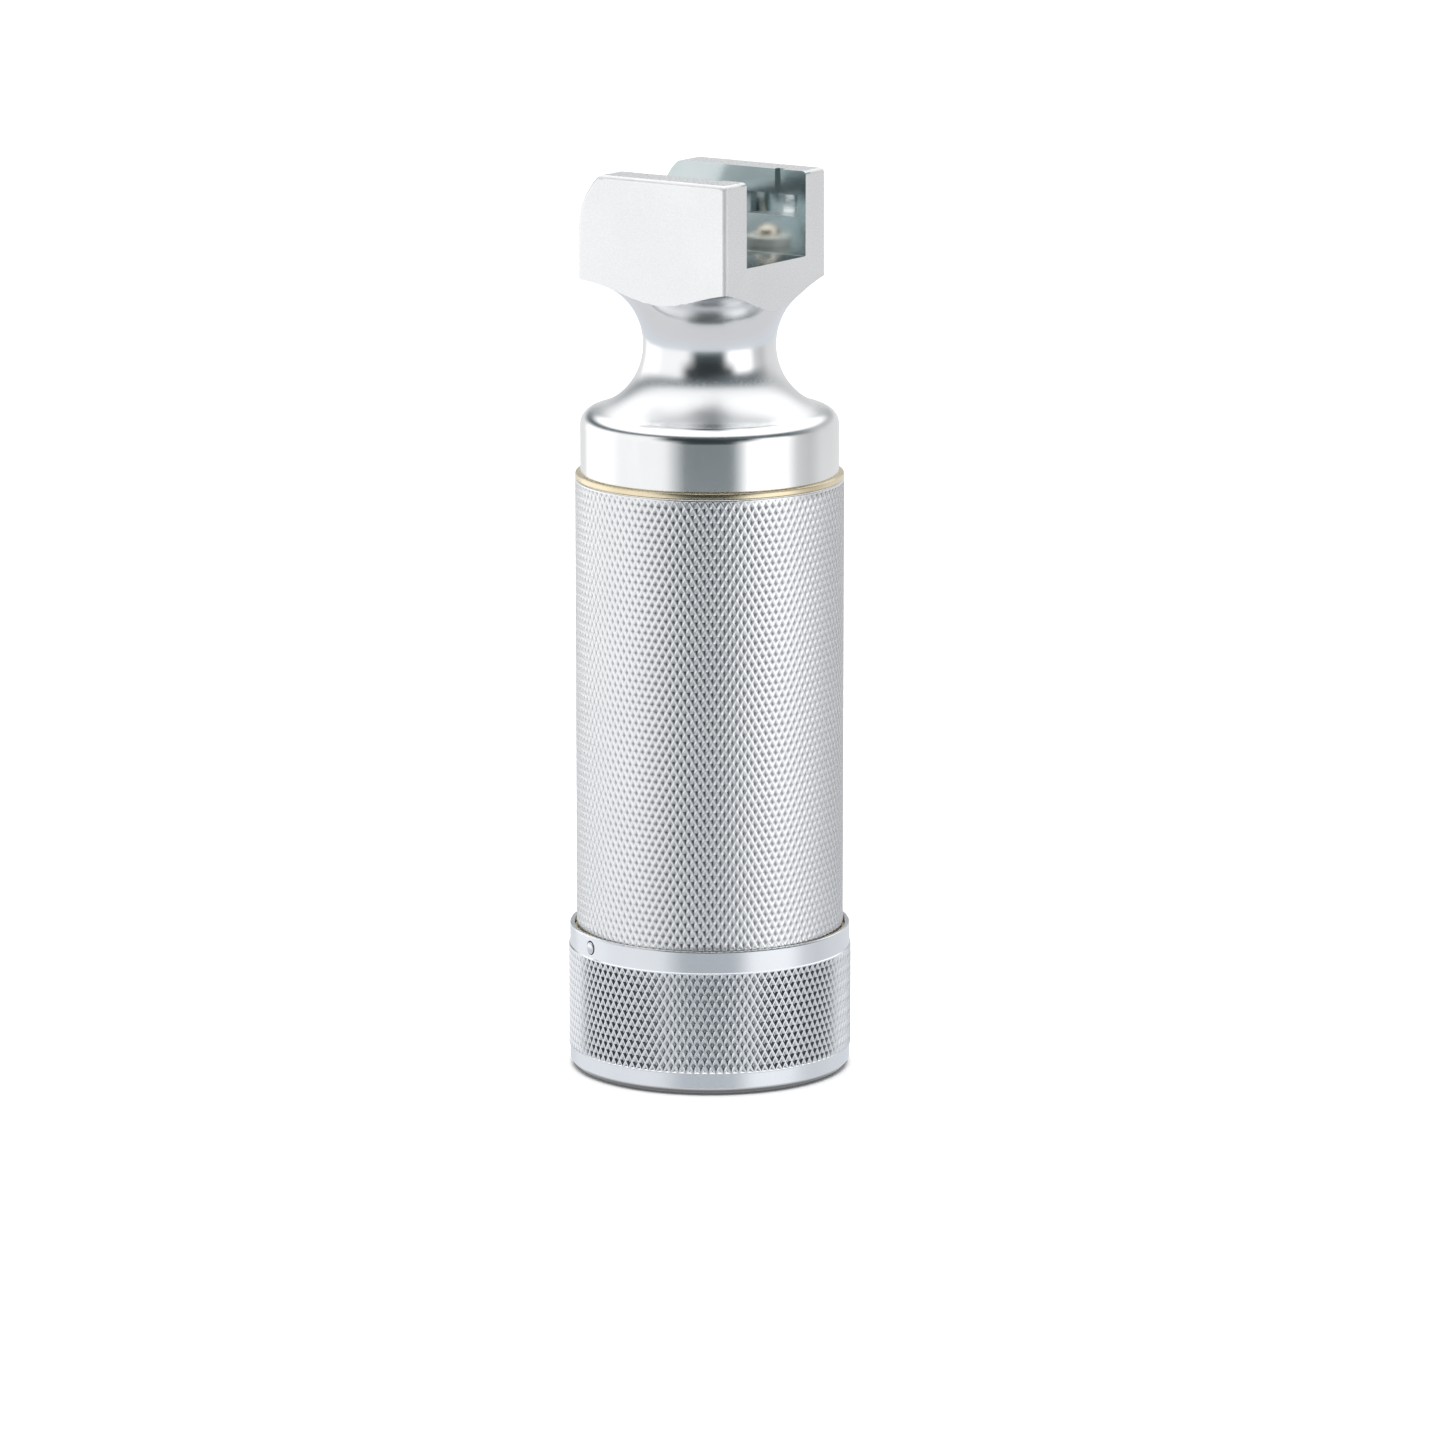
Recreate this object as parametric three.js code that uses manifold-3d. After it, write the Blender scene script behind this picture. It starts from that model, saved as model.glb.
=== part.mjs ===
// Short laryngoscope handle with a hook-on yoke: two AA cells side by side in a
// knurled tube, closed by a screw cap. Millimetres, +Z up, origin at the centre
// of the base. +X runs along the yoke's slot to its square rear end, and +Y runs
// across the two ears.

import * as THREE from 'three';
import { mergeVertices } from 'three/addons/utils/BufferGeometryUtils.js';
import Module from 'manifold-3d';

// ---- driving dimensions ----------------------------------------------------

const ROUND = 32; // facets round a large turned or threaded part
const MEDIUM_ROUND = 24; // facets round a cell, the insulator or the hinge pin
const SMALL_ROUND = 20; // facets round a small turned part
const SCREW_FACETS = 16;
const PIN_FACETS = 12;
const PRESS_GAP = 0.05; // gap round a pressed pin or ring, and at a spring contact
const FIT_GAP = 0.15; // radial gap of a pressed or bonded joint
const STOP_GAP = 0.3; // gap left at a stop or a shoulder
const HOLE_END_GAP = 0.2; // gap past the end of a blind pin or screw
const OVERSHOOT = 1; // how far a cutter runs past the face that it opens
const OVERLAP = 0.01; // how far joined shapes run into each other

// Screw cap
const CAP_HEIGHT = 18.2;
const CAP_BAND_RADIUS = 17.65;
const CAP_KNURL_RADIUS = 17.8;
const CAP_KNURL_LOW = 2.6;
const CAP_KNURL_HIGH = 15.4;
const CAP_EDGE = 0.7; // chamfer under the lower band
const CAP_BORE = 17.05;
const CAP_FLOOR = 1.8;
const CAP_PIN_RADIUS = 0.75;
const CAP_PIN_Z = 16.8;
const CAP_PIN_INNER = 16.7; // radius where a cap pin ends inside
const CAP_PIN_PROUD = 0.2; // how far its head stands out of the band
const CAP_PIN_ANGLE = THREE.MathUtils.degToRad(-113);

// Thread between the cap and the tube, right-handed
const THREAD_LEAD = 2;
const THREAD_DEPTH = 0.55;
const THREAD_ROOT = 15.6; // root radius on the tube
const THREAD_CLEARANCE = 0.25;
const THREAD_FADE = 1; // length over which a thread runs out at its end
const ROWS_PER_TURN = 6;
const RING_LOW = 2;
const RING_HIGH = 17.6;
const RING_THREAD_LOW = 5;
const RING_THREAD_HIGH = 15.9;
const RING_RELIEF = 16.45; // plain bore above and below the ring's thread
const RING_BAND_OVERLAP = 0.2; // how far the threaded band runs into the ring

// Battery tube
const TUBE_RADIUS = 16.8;
const TUBE_BORE = 15;
const TUBE_TOP = 75;
const TUBE_SHOULDER = 17.9;
const TUBE_END = 5.5;
const TUBE_THREAD_LOW = 6.5;
const TUBE_THREAD_HIGH = 15.5;
const SEAL_Z = 16.7;
const SEAL_SECTION = 0.4;
const SEAL_GROOVE_BOTTOM = 15.44;
const SEAL_GROOVE_WIDTH = 1.1;
const SEAL_GAP = 0.03; // between the O-ring and the bottom of its groove

// Brass ring and head
const RING_BRASS_TOP = 75.7;
const RING_BRASS_BORE = 14.95;
const SPIGOT_RADIUS = 14.7;
const SPIGOT_END = 64.6;
const COLLAR_RADIUS = 16.15;
const COLLAR_SHOULDER = 2; // radius of the rounded shoulder above the collar
const NECK_ARC = 8.35; // radius of the turned groove that forms the neck
const NECK_ARC_CENTRE_R = 16.65;
const NECK_ARC_CENTRE_Z = 91.7;
const HEAD_TOP = 113.3;
const YOKE_FRONT = -12.3;
const YOKE_REAR = 10;
const YOKE_HALF_WIDTH = 10.95;
const YOKE_NOSE = 8.5; // radius of the rounded front corner
const YOKE_NOSE_Z = 106.7; // height of that corner's centre
const SLOT_HALF_WIDTH = 6.45;
const SLOT_FLOOR = 102.7;
const SLOT_CUTTER_REACH = 20; // past both ends of the yoke

// Hinge pin that the blade hooks on
const PIN_RADIUS = 1.6;
const PIN_X = -7.1;
const PIN_Z = 107.9;
const PIN_BLIND = 3.2; // depth of its blind hole in the near ear

// Ball-detent pockets in the ears, and the groove that leads a ball in
const DETENT_CUTTER = 7.5;
const DETENT_DEPTH = 1.2;
const DETENT_X = 4.75;
const DETENT_LOW = 107.5;
const DETENT_HIGH = 110.2;
const LEAD_GROOVE_X = 6;
const LEAD_GROOVE_WIDTH = 1.2;
const LEAD_GROOVE_DEPTH = 0.6;

// Centre contact
const INSULATOR_RADIUS = 2.9;
const INSULATOR_LOW = 94;
const INSULATOR_HIGH = 103.9;
const INSULATOR_LIP = 102.9; // underside of its lip
const INSULATOR_CAVITY = 2.35;
const INSULATOR_EDGE = 0.3;
const PLUNGER_RADIUS = 1.5;
const PLUNGER_TOP = 105.3;
const PLUNGER_DOME = 0.6; // height of its rounded tip
const PLUNGER_DOME_STEP = 0.15; // drop from the top to the tip's middle step
const PLUNGER_DOME_SHARE = 0.7; // that step's share of the plunger's radius
const PLUNGER_COLLAR = 2.1;
const PLUNGER_COLLAR_LOW = 101.2;
const PLUNGER_COLLAR_HIGH = 102.6;
const PLUNGER_STEM = 0.95;
const PLUNGER_STEM_LOW = 99.5;
const PLUNGER_SPRING = { radius: 1.55, wire: 0.25, turns: 4, stepsPerTurn: 12 };
const ROD_RADIUS = 1.1;
const ROD_HEAD_LOW = 94.3;
const ROD_HEAD_HIGH = 96.2;
const ROD_FOOT_LOW = 60.4;
const ROD_FOOT_RADIUS = 2;
const SLEEVE_OUTER = 2.2;
const SLEEVE_BORE = 1.35;
const SLEEVE_HIGH = 93.6;
const HEAD_BORE = 2.45; // bore up the neck round the sleeve

// Two AA cells
const CELL_RADIUS = 7.1;
const CELL_X = 7.6;
const CELL_LOW = 8.1;
const CELL_LENGTH = 50.5;
const CELL_NUB = 1.3;
const CELL_NUB_RADIUS = 2.65;
const CELL_EDGE = 0.5;

// Cradle and top contacts
const CRADLE_RADIUS = 14.7;
const CRADLE_BORE = 7.35;
const CRADLE_LOW = 10;
const CRADLE_HIGH = 60;
const BOARD_RADIUS = 14.6;
const BOARD_LOW = 61.6;
const BOARD_HIGH = 64.4;
const LEAF_THICKNESS = 0.4;
const LEAF_WIDTH = 5;
const LEAF_FLAT = 0.8; // half the length of the flat that touches a cell
const LEAF_TAIL = 3; // from a cell's axis to the leaf's free end
const LEAF_TAIL_DROP = 0.6;
const POSITIVE_LEAF_START = -2.4;
const POSITIVE_LEAF_BEND = 4;
const GROUND_LEAF_BEND = -11.5;
const GROUND_LEAF_X = -13.2; // where the ground leaf turns up to the spigot
const SCREW_Y = 11;
const SCREW_SHANK = 1.2;
const SCREW_HEAD = 2.2;
const SCREW_HEAD_HEIGHT = 1.4;
const SCREW_END = 70;
const SCREW_HOLE_END = 71;

// Swivelling contact cup in the cap
const CUP_RADIUS = 14.5;
const CUP_BORE = 13.4;
const CUP_LOW = 2;
const CUP_FLOOR = 2.8;
const CUP_HIGH = 6;
const DISC_SPRING = { radius: 6.2, wire: 0.3, turns: 2, stepsPerTurn: 14 };
const RETAINER_BORE = 12.3;
const RETAINER_HIGH = 6.8;
const DISC_FLANGE_RADIUS = 13;
const DISC_FLANGE_LOW = 5;
const DISC_FLANGE_HIGH = 5.7;
const DISC_RADIUS = 12;
const DISC_RECESS_RADIUS = 3.6;
const DISC_RECESS_TOP = 5.5;
const PIVOT_HEAD_RADIUS = 3;
const PIVOT_HEAD_LOW = 3;
const PIVOT_HEAD_HIGH = 4;
const PIVOT_SHOULDER_RADIUS = 1.8;
const PIVOT_SHANK_RADIUS = 1;
const PIVOT_SHANK_LOW = 0.6;

// ---- materials -------------------------------------------------------------

const finish = (color, roughness, metalness) =>
  new THREE.MeshStandardMaterial({ color, roughness, metalness });

const satinPlate = finish(0xd9dcdf, 0.35, 1);
const polishedPlate = finish(0xdfe2e5, 0.12, 1);
const knurledPlate = finish(0xd4d7da, 0.3, 1);
const brass = finish(0xc9a45c, 0.3, 1);
const nickel = finish(0xcfcfca, 0.3, 1);
const springSteel = finish(0xa9acb0, 0.35, 1);
const creamPlastic = finish(0xe9dfc8, 0.5, 0);
const blackPlastic = finish(0x25272a, 0.6, 0);
const clearSleeve = finish(0xe3e6e4, 0.5, 0);
const sealRubber = finish(0x1b1c1e, 0.8, 0);
const cellJacket = finish(0x3f5a48, 0.4, 0.1);

// ---- geometry helpers ------------------------------------------------------

const manifoldLibrary = await Module();
manifoldLibrary.setup();

// Joins shared vertices and drops the empty triangles at a lathe's poles.
function weld(geometry) {
  const bare = geometry.clone();
  bare.deleteAttribute('normal');
  bare.deleteAttribute('uv');
  const merged = mergeVertices(bare, 1e-4);
  const corners = Array.from(merged.index.array);
  const kept = [];
  for (let i = 0; i < corners.length; i += 3) {
    const [a, b, c] = corners.slice(i, i + 3);
    if (a !== b && b !== c && c !== a) kept.push(a, b, c);
  }
  merged.setIndex(kept);
  return merged;
}

function toSolid(geometry) {
  const merged = weld(geometry);
  return new manifoldLibrary.Manifold(
    new manifoldLibrary.Mesh({
      numProp: 3,
      vertProperties: new Float32Array(merged.attributes.position.array),
      triVerts: new Uint32Array(merged.index.array),
    }),
  );
}

function toGeometry(solid) {
  const mesh = solid.getMesh();
  const geometry = new THREE.BufferGeometry();
  geometry.setAttribute('position', new THREE.BufferAttribute(mesh.vertProperties, 3));
  geometry.setIndex(new THREE.BufferAttribute(mesh.triVerts, 1));
  return geometry;
}

function cut(body, tools) {
  return tools.reduce((rest, tool) => rest.subtract(toSolid(tool)), toSolid(body));
}

// A turned shape about Z from [radius, height] pairs, listed from the bottom up
// along the outside and, on a hollow part, back down along the inside.
function turned(profile, segments = ROUND) {
  const points = profile.map(([radius, height]) => new THREE.Vector2(radius, height));
  return new THREE.LatheGeometry(points, segments).rotateX(Math.PI / 2);
}

function hollowTurned(profile, segments = ROUND) {
  return turned([...profile, profile[0]], segments);
}

// Points of an arc in the [radius, height] plane.
function arc(centreR, centreZ, radius, fromDegrees, toDegrees, steps) {
  const points = [];
  for (let i = 0; i <= steps; i += 1) {
    const angle = THREE.MathUtils.degToRad(fromDegrees + ((toDegrees - fromDegrees) * i) / steps);
    points.push([centreR + radius * Math.cos(angle), centreZ + radius * Math.sin(angle)]);
  }
  return points;
}

function cylinder(radius, low, high, x = 0, y = 0, segments = SMALL_ROUND) {
  return new THREE.CylinderGeometry(radius, radius, high - low, segments)
    .rotateX(Math.PI / 2)
    .translate(x, y, (low + high) / 2);
}

function ring(outer, bore, low, high, segments = ROUND) {
  return hollowTurned([[outer, low], [outer, high], [bore, high], [bore, low]], segments);
}

function block(xRange, yRange, zRange) {
  const [width, depth, height] = [xRange, yRange, zRange].map(([low, high]) => high - low);
  const [x, y, z] = [xRange, yRange, zRange].map(([low, high]) => (low + high) / 2);
  return new THREE.BoxGeometry(width, depth, height).translate(x, y, z);
}

// A cylinder whose wall carries a right-handed round thread, which fades out
// towards each end.
function threadedCylinder(root, low, high) {
  const rows = Math.round(((high - low) / THREAD_LEAD) * ROWS_PER_TURN);
  const shape = new THREE.CylinderGeometry(root, root, high - low, ROUND, rows)
    .rotateX(Math.PI / 2)
    .translate(0, 0, (low + high) / 2);
  const place = shape.attributes.position;
  for (let i = 0; i < place.count; i += 1) {
    const [x, y, z] = [place.getX(i), place.getY(i), place.getZ(i)];
    if (Math.hypot(x, y) < root / 2) continue;
    const angle = Math.atan2(y, x);
    const turns = z / THREAD_LEAD - angle / (2 * Math.PI);
    const crest = 0.5 + 0.5 * Math.cos(2 * Math.PI * turns);
    const fromEnd = Math.min(z - low, high - z);
    const fade = Math.min(1, Math.max(0, fromEnd / THREAD_FADE));
    const radius = root + THREAD_DEPTH * crest * fade;
    place.setXY(i, radius * Math.cos(angle), radius * Math.sin(angle));
  }
  return shape;
}

// A coil spring about Z, as a round wire swept along a helix.
class Helix extends THREE.Curve {
  constructor(radius, low, high, turns) {
    super();
    Object.assign(this, { radius, low, high, turns });
  }

  getPoint(t, target = new THREE.Vector3()) {
    const angle = 2 * Math.PI * this.turns * t;
    const height = this.low + (this.high - this.low) * t;
    return target.set(this.radius * Math.cos(angle), this.radius * Math.sin(angle), height);
  }
}

function coil({ radius, wire, turns, stepsPerTurn }, low, high) {
  const section = new THREE.Shape();
  section.absarc(0, 0, wire, 0, 2 * Math.PI);
  return new THREE.ExtrudeGeometry(section, {
    steps: Math.round(turns * stepsPerTurn),
    curveSegments: 3,
    extrudePath: new Helix(radius, low + wire, high - wire, turns),
  });
}

// A strip bent in the XZ plane, given by the line of its lower face.
function bentStrip(lowerLine, thickness, width) {
  const outline = new THREE.Shape();
  const upperLine = offsetLine(lowerLine, thickness);
  [...lowerLine, ...upperLine.reverse()].forEach(([x, z], i) => {
    if (i === 0) outline.moveTo(x, z);
    else outline.lineTo(x, z);
  });
  return new THREE.ExtrudeGeometry(outline, { depth: width, bevelEnabled: false })
    .translate(0, 0, -width / 2)
    .rotateX(Math.PI / 2);
}

// The line moved sideways by a distance, mitred at its bends.
function offsetLine(line, distance) {
  const points = line.map(([x, z]) => new THREE.Vector2(x, z));
  const sides = points.slice(1).map((point, i) => {
    const along = point.clone().sub(points[i]).normalize();
    return new THREE.Vector2(-along.y, along.x);
  });
  return points.map((point, i) => {
    const before = sides[Math.max(0, i - 1)];
    const after = sides[Math.min(sides.length - 1, i)];
    const mitre = before.clone().add(after).normalize();
    const moved = point.clone().addScaledVector(mitre, distance / mitre.dot(after));
    return [moved.x, moved.y];
  });
}

// ---- the assembly ----------------------------------------------------------

const handle = new THREE.Group();

function addPiece(name, shape, material) {
  const geometry = shape.isBufferGeometry ? weld(shape) : toGeometry(shape);
  geometry.computeVertexNormals();
  const mesh = new THREE.Mesh(geometry, material);
  mesh.name = name;
  handle.add(mesh);
}

// ---- screw cap -------------------------------------------------------------

// A cap pin stands in the shell and the thread ring, with its head just proud.
function capPin(angle, radius, inner, outer) {
  const middle = (inner + outer) / 2;
  return new THREE.CylinderGeometry(radius, radius, outer - inner, PIN_FACETS)
    .rotateZ(Math.PI / 2)
    .rotateZ(angle)
    .translate(middle * Math.cos(angle), middle * Math.sin(angle), CAP_PIN_Z);
}

const pinAngles = { cap_pin_near: CAP_PIN_ANGLE, cap_pin_far: CAP_PIN_ANGLE + Math.PI };
const pinHoles = Object.values(pinAngles).map((angle) =>
  capPin(
    angle, CAP_PIN_RADIUS + FIT_GAP, CAP_PIN_INNER - FIT_GAP, CAP_BAND_RADIUS + OVERSHOOT,
  ),
);

const shellBlank = turned([
  [0, 0],
  [CAP_BAND_RADIUS - CAP_EDGE, 0],
  [CAP_BAND_RADIUS, CAP_EDGE],
  [CAP_BAND_RADIUS, CAP_KNURL_LOW],
  [CAP_KNURL_RADIUS, CAP_KNURL_LOW],
  [CAP_KNURL_RADIUS, CAP_KNURL_HIGH],
  [CAP_BAND_RADIUS, CAP_KNURL_HIGH],
  [CAP_BAND_RADIUS, CAP_HEIGHT],
  [CAP_BORE, CAP_HEIGHT],
  [CAP_BORE, CAP_FLOOR],
  [0, CAP_FLOOR],
]);
const pivotHole = cylinder(
  PIVOT_SHANK_RADIUS + FIT_GAP, PIVOT_SHANK_LOW - HOLE_END_GAP, CAP_FLOOR + OVERSHOOT,
);
addPiece('cap_shell', cut(shellBlank, [...pinHoles, pivotHole]), knurledPlate);

const ringBlank = ring(CAP_BORE - PRESS_GAP, RING_RELIEF, RING_LOW, RING_HIGH);
const ringThreadBand = cylinder(
  RING_RELIEF + RING_BAND_OVERLAP, RING_THREAD_LOW, RING_THREAD_HIGH, 0, 0, ROUND,
);
const ringThread = threadedCylinder(
  THREAD_ROOT + THREAD_CLEARANCE, RING_THREAD_LOW - THREAD_FADE, RING_THREAD_HIGH + THREAD_FADE,
);
const threadRing = pinHoles.reduce(
  (body, hole) => body.subtract(toSolid(hole)),
  toSolid(ringBlank).add(toSolid(ringThreadBand)).subtract(toSolid(ringThread)),
);
addPiece('cap_thread_ring', threadRing, brass);

Object.entries(pinAngles).forEach(([name, angle]) => {
  const head = CAP_BAND_RADIUS + CAP_PIN_PROUD;
  addPiece(name, capPin(angle, CAP_PIN_RADIUS, CAP_PIN_INNER, head), springSteel);
});

addPiece(
  'pivot_screw',
  turned([
    [0, PIVOT_SHANK_LOW],
    [PIVOT_SHANK_RADIUS, PIVOT_SHANK_LOW],
    [PIVOT_SHANK_RADIUS, CAP_FLOOR],
    [PIVOT_SHOULDER_RADIUS, CAP_FLOOR],
    [PIVOT_SHOULDER_RADIUS, PIVOT_HEAD_LOW],
    [PIVOT_HEAD_RADIUS, PIVOT_HEAD_LOW],
    [PIVOT_HEAD_RADIUS, PIVOT_HEAD_HIGH],
    [0, PIVOT_HEAD_HIGH],
  ], SMALL_ROUND),
  springSteel,
);

// ---- swivelling contact cup, disc and cells --------------------------------

addPiece(
  'contact_cup',
  hollowTurned([
    [PIVOT_SHOULDER_RADIUS + STOP_GAP, CUP_LOW],
    [CUP_RADIUS, CUP_LOW],
    [CUP_RADIUS, CUP_HIGH],
    [CUP_BORE, CUP_HIGH],
    [CUP_BORE, CUP_FLOOR],
    [PIVOT_SHOULDER_RADIUS + STOP_GAP, CUP_FLOOR],
  ]),
  blackPlastic,
);
addPiece('disc_retainer', ring(CUP_RADIUS, RETAINER_BORE, CUP_HIGH, RETAINER_HIGH), blackPlastic);
addPiece('disc_spring', coil(DISC_SPRING, CUP_FLOOR, DISC_FLANGE_LOW), springSteel);
addPiece(
  'contact_disc',
  turned([
    [0, DISC_RECESS_TOP],
    [DISC_RECESS_RADIUS, DISC_RECESS_TOP],
    [DISC_RECESS_RADIUS, DISC_FLANGE_LOW],
    [DISC_FLANGE_RADIUS, DISC_FLANGE_LOW],
    [DISC_FLANGE_RADIUS, DISC_FLANGE_HIGH],
    [DISC_RADIUS, DISC_FLANGE_HIGH],
    [DISC_RADIUS, CELL_LOW],
    [0, CELL_LOW],
  ]),
  nickel,
);

// An AA cell standing on z = 0 with its nub up.
function cell() {
  const shoulder = CELL_LENGTH - CELL_NUB;
  return turned([
    [0, 0],
    [CELL_RADIUS - CELL_EDGE, 0],
    [CELL_RADIUS, CELL_EDGE],
    [CELL_RADIUS, shoulder - CELL_EDGE],
    [CELL_RADIUS - CELL_EDGE, shoulder],
    [CELL_NUB_RADIUS, shoulder],
    [CELL_NUB_RADIUS, CELL_LENGTH],
    [0, CELL_LENGTH],
  ], MEDIUM_ROUND);
}

addPiece('cell_positive_up', cell().translate(CELL_X, 0, CELL_LOW), cellJacket);
addPiece(
  'cell_positive_down',
  cell().rotateX(Math.PI).translate(-CELL_X, 0, CELL_LOW + CELL_LENGTH),
  cellJacket,
);

// ---- battery tube ----------------------------------------------------------

const grooveLow = SEAL_Z - SEAL_GROOVE_WIDTH / 2;
const grooveHigh = SEAL_Z + SEAL_GROOVE_WIDTH / 2;
const tubeWall = turned([
  [0, TUBE_END],
  [THREAD_ROOT, TUBE_END],
  [THREAD_ROOT, grooveLow],
  [SEAL_GROOVE_BOTTOM, grooveLow],
  [SEAL_GROOVE_BOTTOM, grooveHigh],
  [THREAD_ROOT, grooveHigh],
  [THREAD_ROOT, TUBE_SHOULDER],
  [TUBE_RADIUS, TUBE_SHOULDER],
  [TUBE_RADIUS, TUBE_TOP],
  [0, TUBE_TOP],
]);
const tubeThread = threadedCylinder(THREAD_ROOT + OVERLAP, TUBE_THREAD_LOW, TUBE_THREAD_HIGH);
const tubeBore = cylinder(
  TUBE_BORE, TUBE_END - OVERSHOOT, TUBE_TOP + OVERSHOOT, 0, 0, ROUND,
);
const tube = toSolid(tubeWall).add(toSolid(tubeThread)).subtract(toSolid(tubeBore));
addPiece('knurled_tube', tube, knurledPlate);

const sealMiddle = SEAL_GROOVE_BOTTOM + SEAL_GAP + SEAL_SECTION;
const sealSection = arc(sealMiddle, SEAL_Z, SEAL_SECTION, -180, 180, 8);
addPiece('tube_o_ring', turned(sealSection), sealRubber);

addPiece('brass_ring', ring(TUBE_RADIUS, RING_BRASS_BORE, TUBE_TOP, RING_BRASS_TOP), brass);

// ---- head: yoke, neck, collar and spigot -----------------------------------

// The shoulder's arc is tangent to the collar's wall and to the neck's arc.
const shoulderR = COLLAR_RADIUS - COLLAR_SHOULDER;
const centreGapR = NECK_ARC_CENTRE_R - shoulderR;
const centreDistance = NECK_ARC + COLLAR_SHOULDER;
const shoulderZ = NECK_ARC_CENTRE_Z - Math.sqrt(centreDistance ** 2 - centreGapR ** 2);
const tangentDegrees = THREE.MathUtils.radToDeg(
  Math.atan2(NECK_ARC_CENTRE_Z - shoulderZ, centreGapR),
);

const headBlank = turned([
  [0, SPIGOT_END],
  [SPIGOT_RADIUS, SPIGOT_END],
  [SPIGOT_RADIUS, RING_BRASS_TOP],
  [COLLAR_RADIUS, RING_BRASS_TOP],
  ...arc(shoulderR, shoulderZ, COLLAR_SHOULDER, 0, tangentDegrees, 4),
  ...arc(NECK_ARC_CENTRE_R, NECK_ARC_CENTRE_Z, NECK_ARC, 180 + tangentDegrees, 90, 12).slice(1),
  [NECK_ARC_CENTRE_R, HEAD_TOP],
  [0, HEAD_TOP],
]);

// Outline of the yoke in the XZ plane: square at the rear, rounded at the front.
function yokeOutline() {
  const noseX = YOKE_FRONT + YOKE_NOSE;
  const rise = (HEAD_TOP - YOKE_NOSE_Z) / YOKE_NOSE;
  const outline = new THREE.Shape();
  outline.moveTo(YOKE_FRONT, NECK_ARC_CENTRE_Z);
  outline.lineTo(YOKE_REAR, NECK_ARC_CENTRE_Z);
  outline.lineTo(YOKE_REAR, HEAD_TOP);
  outline.absarc(noseX, YOKE_NOSE_Z, YOKE_NOSE, Math.PI - Math.asin(rise), Math.PI, false);
  return outline;
}

const yokeBlock = new THREE.ExtrudeGeometry(yokeOutline(), {
  depth: 2 * YOKE_HALF_WIDTH,
  bevelEnabled: false,
  curveSegments: 8,
}).rotateX(Math.PI / 2).translate(0, YOKE_HALF_WIDTH, 0);
const belowYoke = cylinder(
  NECK_ARC_CENTRE_R + OVERSHOOT, SPIGOT_END - OVERSHOOT, NECK_ARC_CENTRE_Z + OVERLAP, 0, 0, ROUND,
);
const headEnvelope = toSolid(yokeBlock).add(toSolid(belowYoke));

const slot = block(
  [-SLOT_CUTTER_REACH, SLOT_CUTTER_REACH],
  [-SLOT_HALF_WIDTH, SLOT_HALF_WIDTH],
  [SLOT_FLOOR, HEAD_TOP + OVERSHOOT],
);

// A detent pocket is the mouth of a round cutter standing beside the ear.
const cutterY = SLOT_HALF_WIDTH + DETENT_DEPTH - DETENT_CUTTER;
const detents = [-1, 1].map((side) =>
  cylinder(DETENT_CUTTER, DETENT_LOW, DETENT_HIGH, DETENT_X, side * cutterY, ROUND),
);
const grooveHalf = LEAD_GROOVE_WIDTH / 2;
const grooveReach = SLOT_HALF_WIDTH + LEAD_GROOVE_DEPTH;
const leadGrooves = block(
  [LEAD_GROOVE_X - grooveHalf, LEAD_GROOVE_X + grooveHalf],
  [-grooveReach, grooveReach],
  [(DETENT_LOW + DETENT_HIGH) / 2, HEAD_TOP + OVERSHOOT],
);

// The hinge pin is pressed in from the far ear and ends blind in the near one.
function crossPin(radius, near, far) {
  return new THREE.CylinderGeometry(radius, radius, far - near, MEDIUM_ROUND)
    .translate(0, (near + far) / 2, 0)
    .translate(PIN_X, 0, PIN_Z);
}
const pinNear = -SLOT_HALF_WIDTH - PIN_BLIND;
const pinHole = crossPin(
  PIN_RADIUS + PRESS_GAP, pinNear - HOLE_END_GAP, YOKE_HALF_WIDTH + OVERSHOOT,
);

const boardScrewHoles = [-1, 1].map((side) =>
  cylinder(SCREW_SHANK + FIT_GAP, SPIGOT_END - OVERSHOOT, SCREW_HOLE_END, 0, side * SCREW_Y),
);
const neckBore = cylinder(HEAD_BORE, SPIGOT_END - OVERSHOOT, HEAD_TOP);
const insulatorBore = cylinder(INSULATOR_RADIUS + FIT_GAP, INSULATOR_LOW - STOP_GAP, HEAD_TOP);

const headCuts = [
  slot, ...detents, leadGrooves, pinHole, ...boardScrewHoles, neckBore, insulatorBore,
];
const head = headCuts.reduce(
  (body, tool) => body.subtract(toSolid(tool)),
  toSolid(headBlank).intersect(headEnvelope),
);
addPiece('head', head, satinPlate);
addPiece('hinge_pin', crossPin(PIN_RADIUS, pinNear, YOKE_HALF_WIDTH - PRESS_GAP), polishedPlate);

// ---- centre contact --------------------------------------------------------

addPiece(
  'contact_insulator',
  hollowTurned([
    [INSULATOR_CAVITY, INSULATOR_LOW],
    [INSULATOR_RADIUS, INSULATOR_LOW],
    [INSULATOR_RADIUS, INSULATOR_HIGH - INSULATOR_EDGE],
    [INSULATOR_RADIUS - INSULATOR_EDGE, INSULATOR_HIGH],
    [PLUNGER_RADIUS + FIT_GAP, INSULATOR_HIGH],
    [PLUNGER_RADIUS + FIT_GAP, INSULATOR_LIP],
    [INSULATOR_CAVITY, INSULATOR_LIP],
  ], MEDIUM_ROUND),
  creamPlastic,
);

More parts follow.
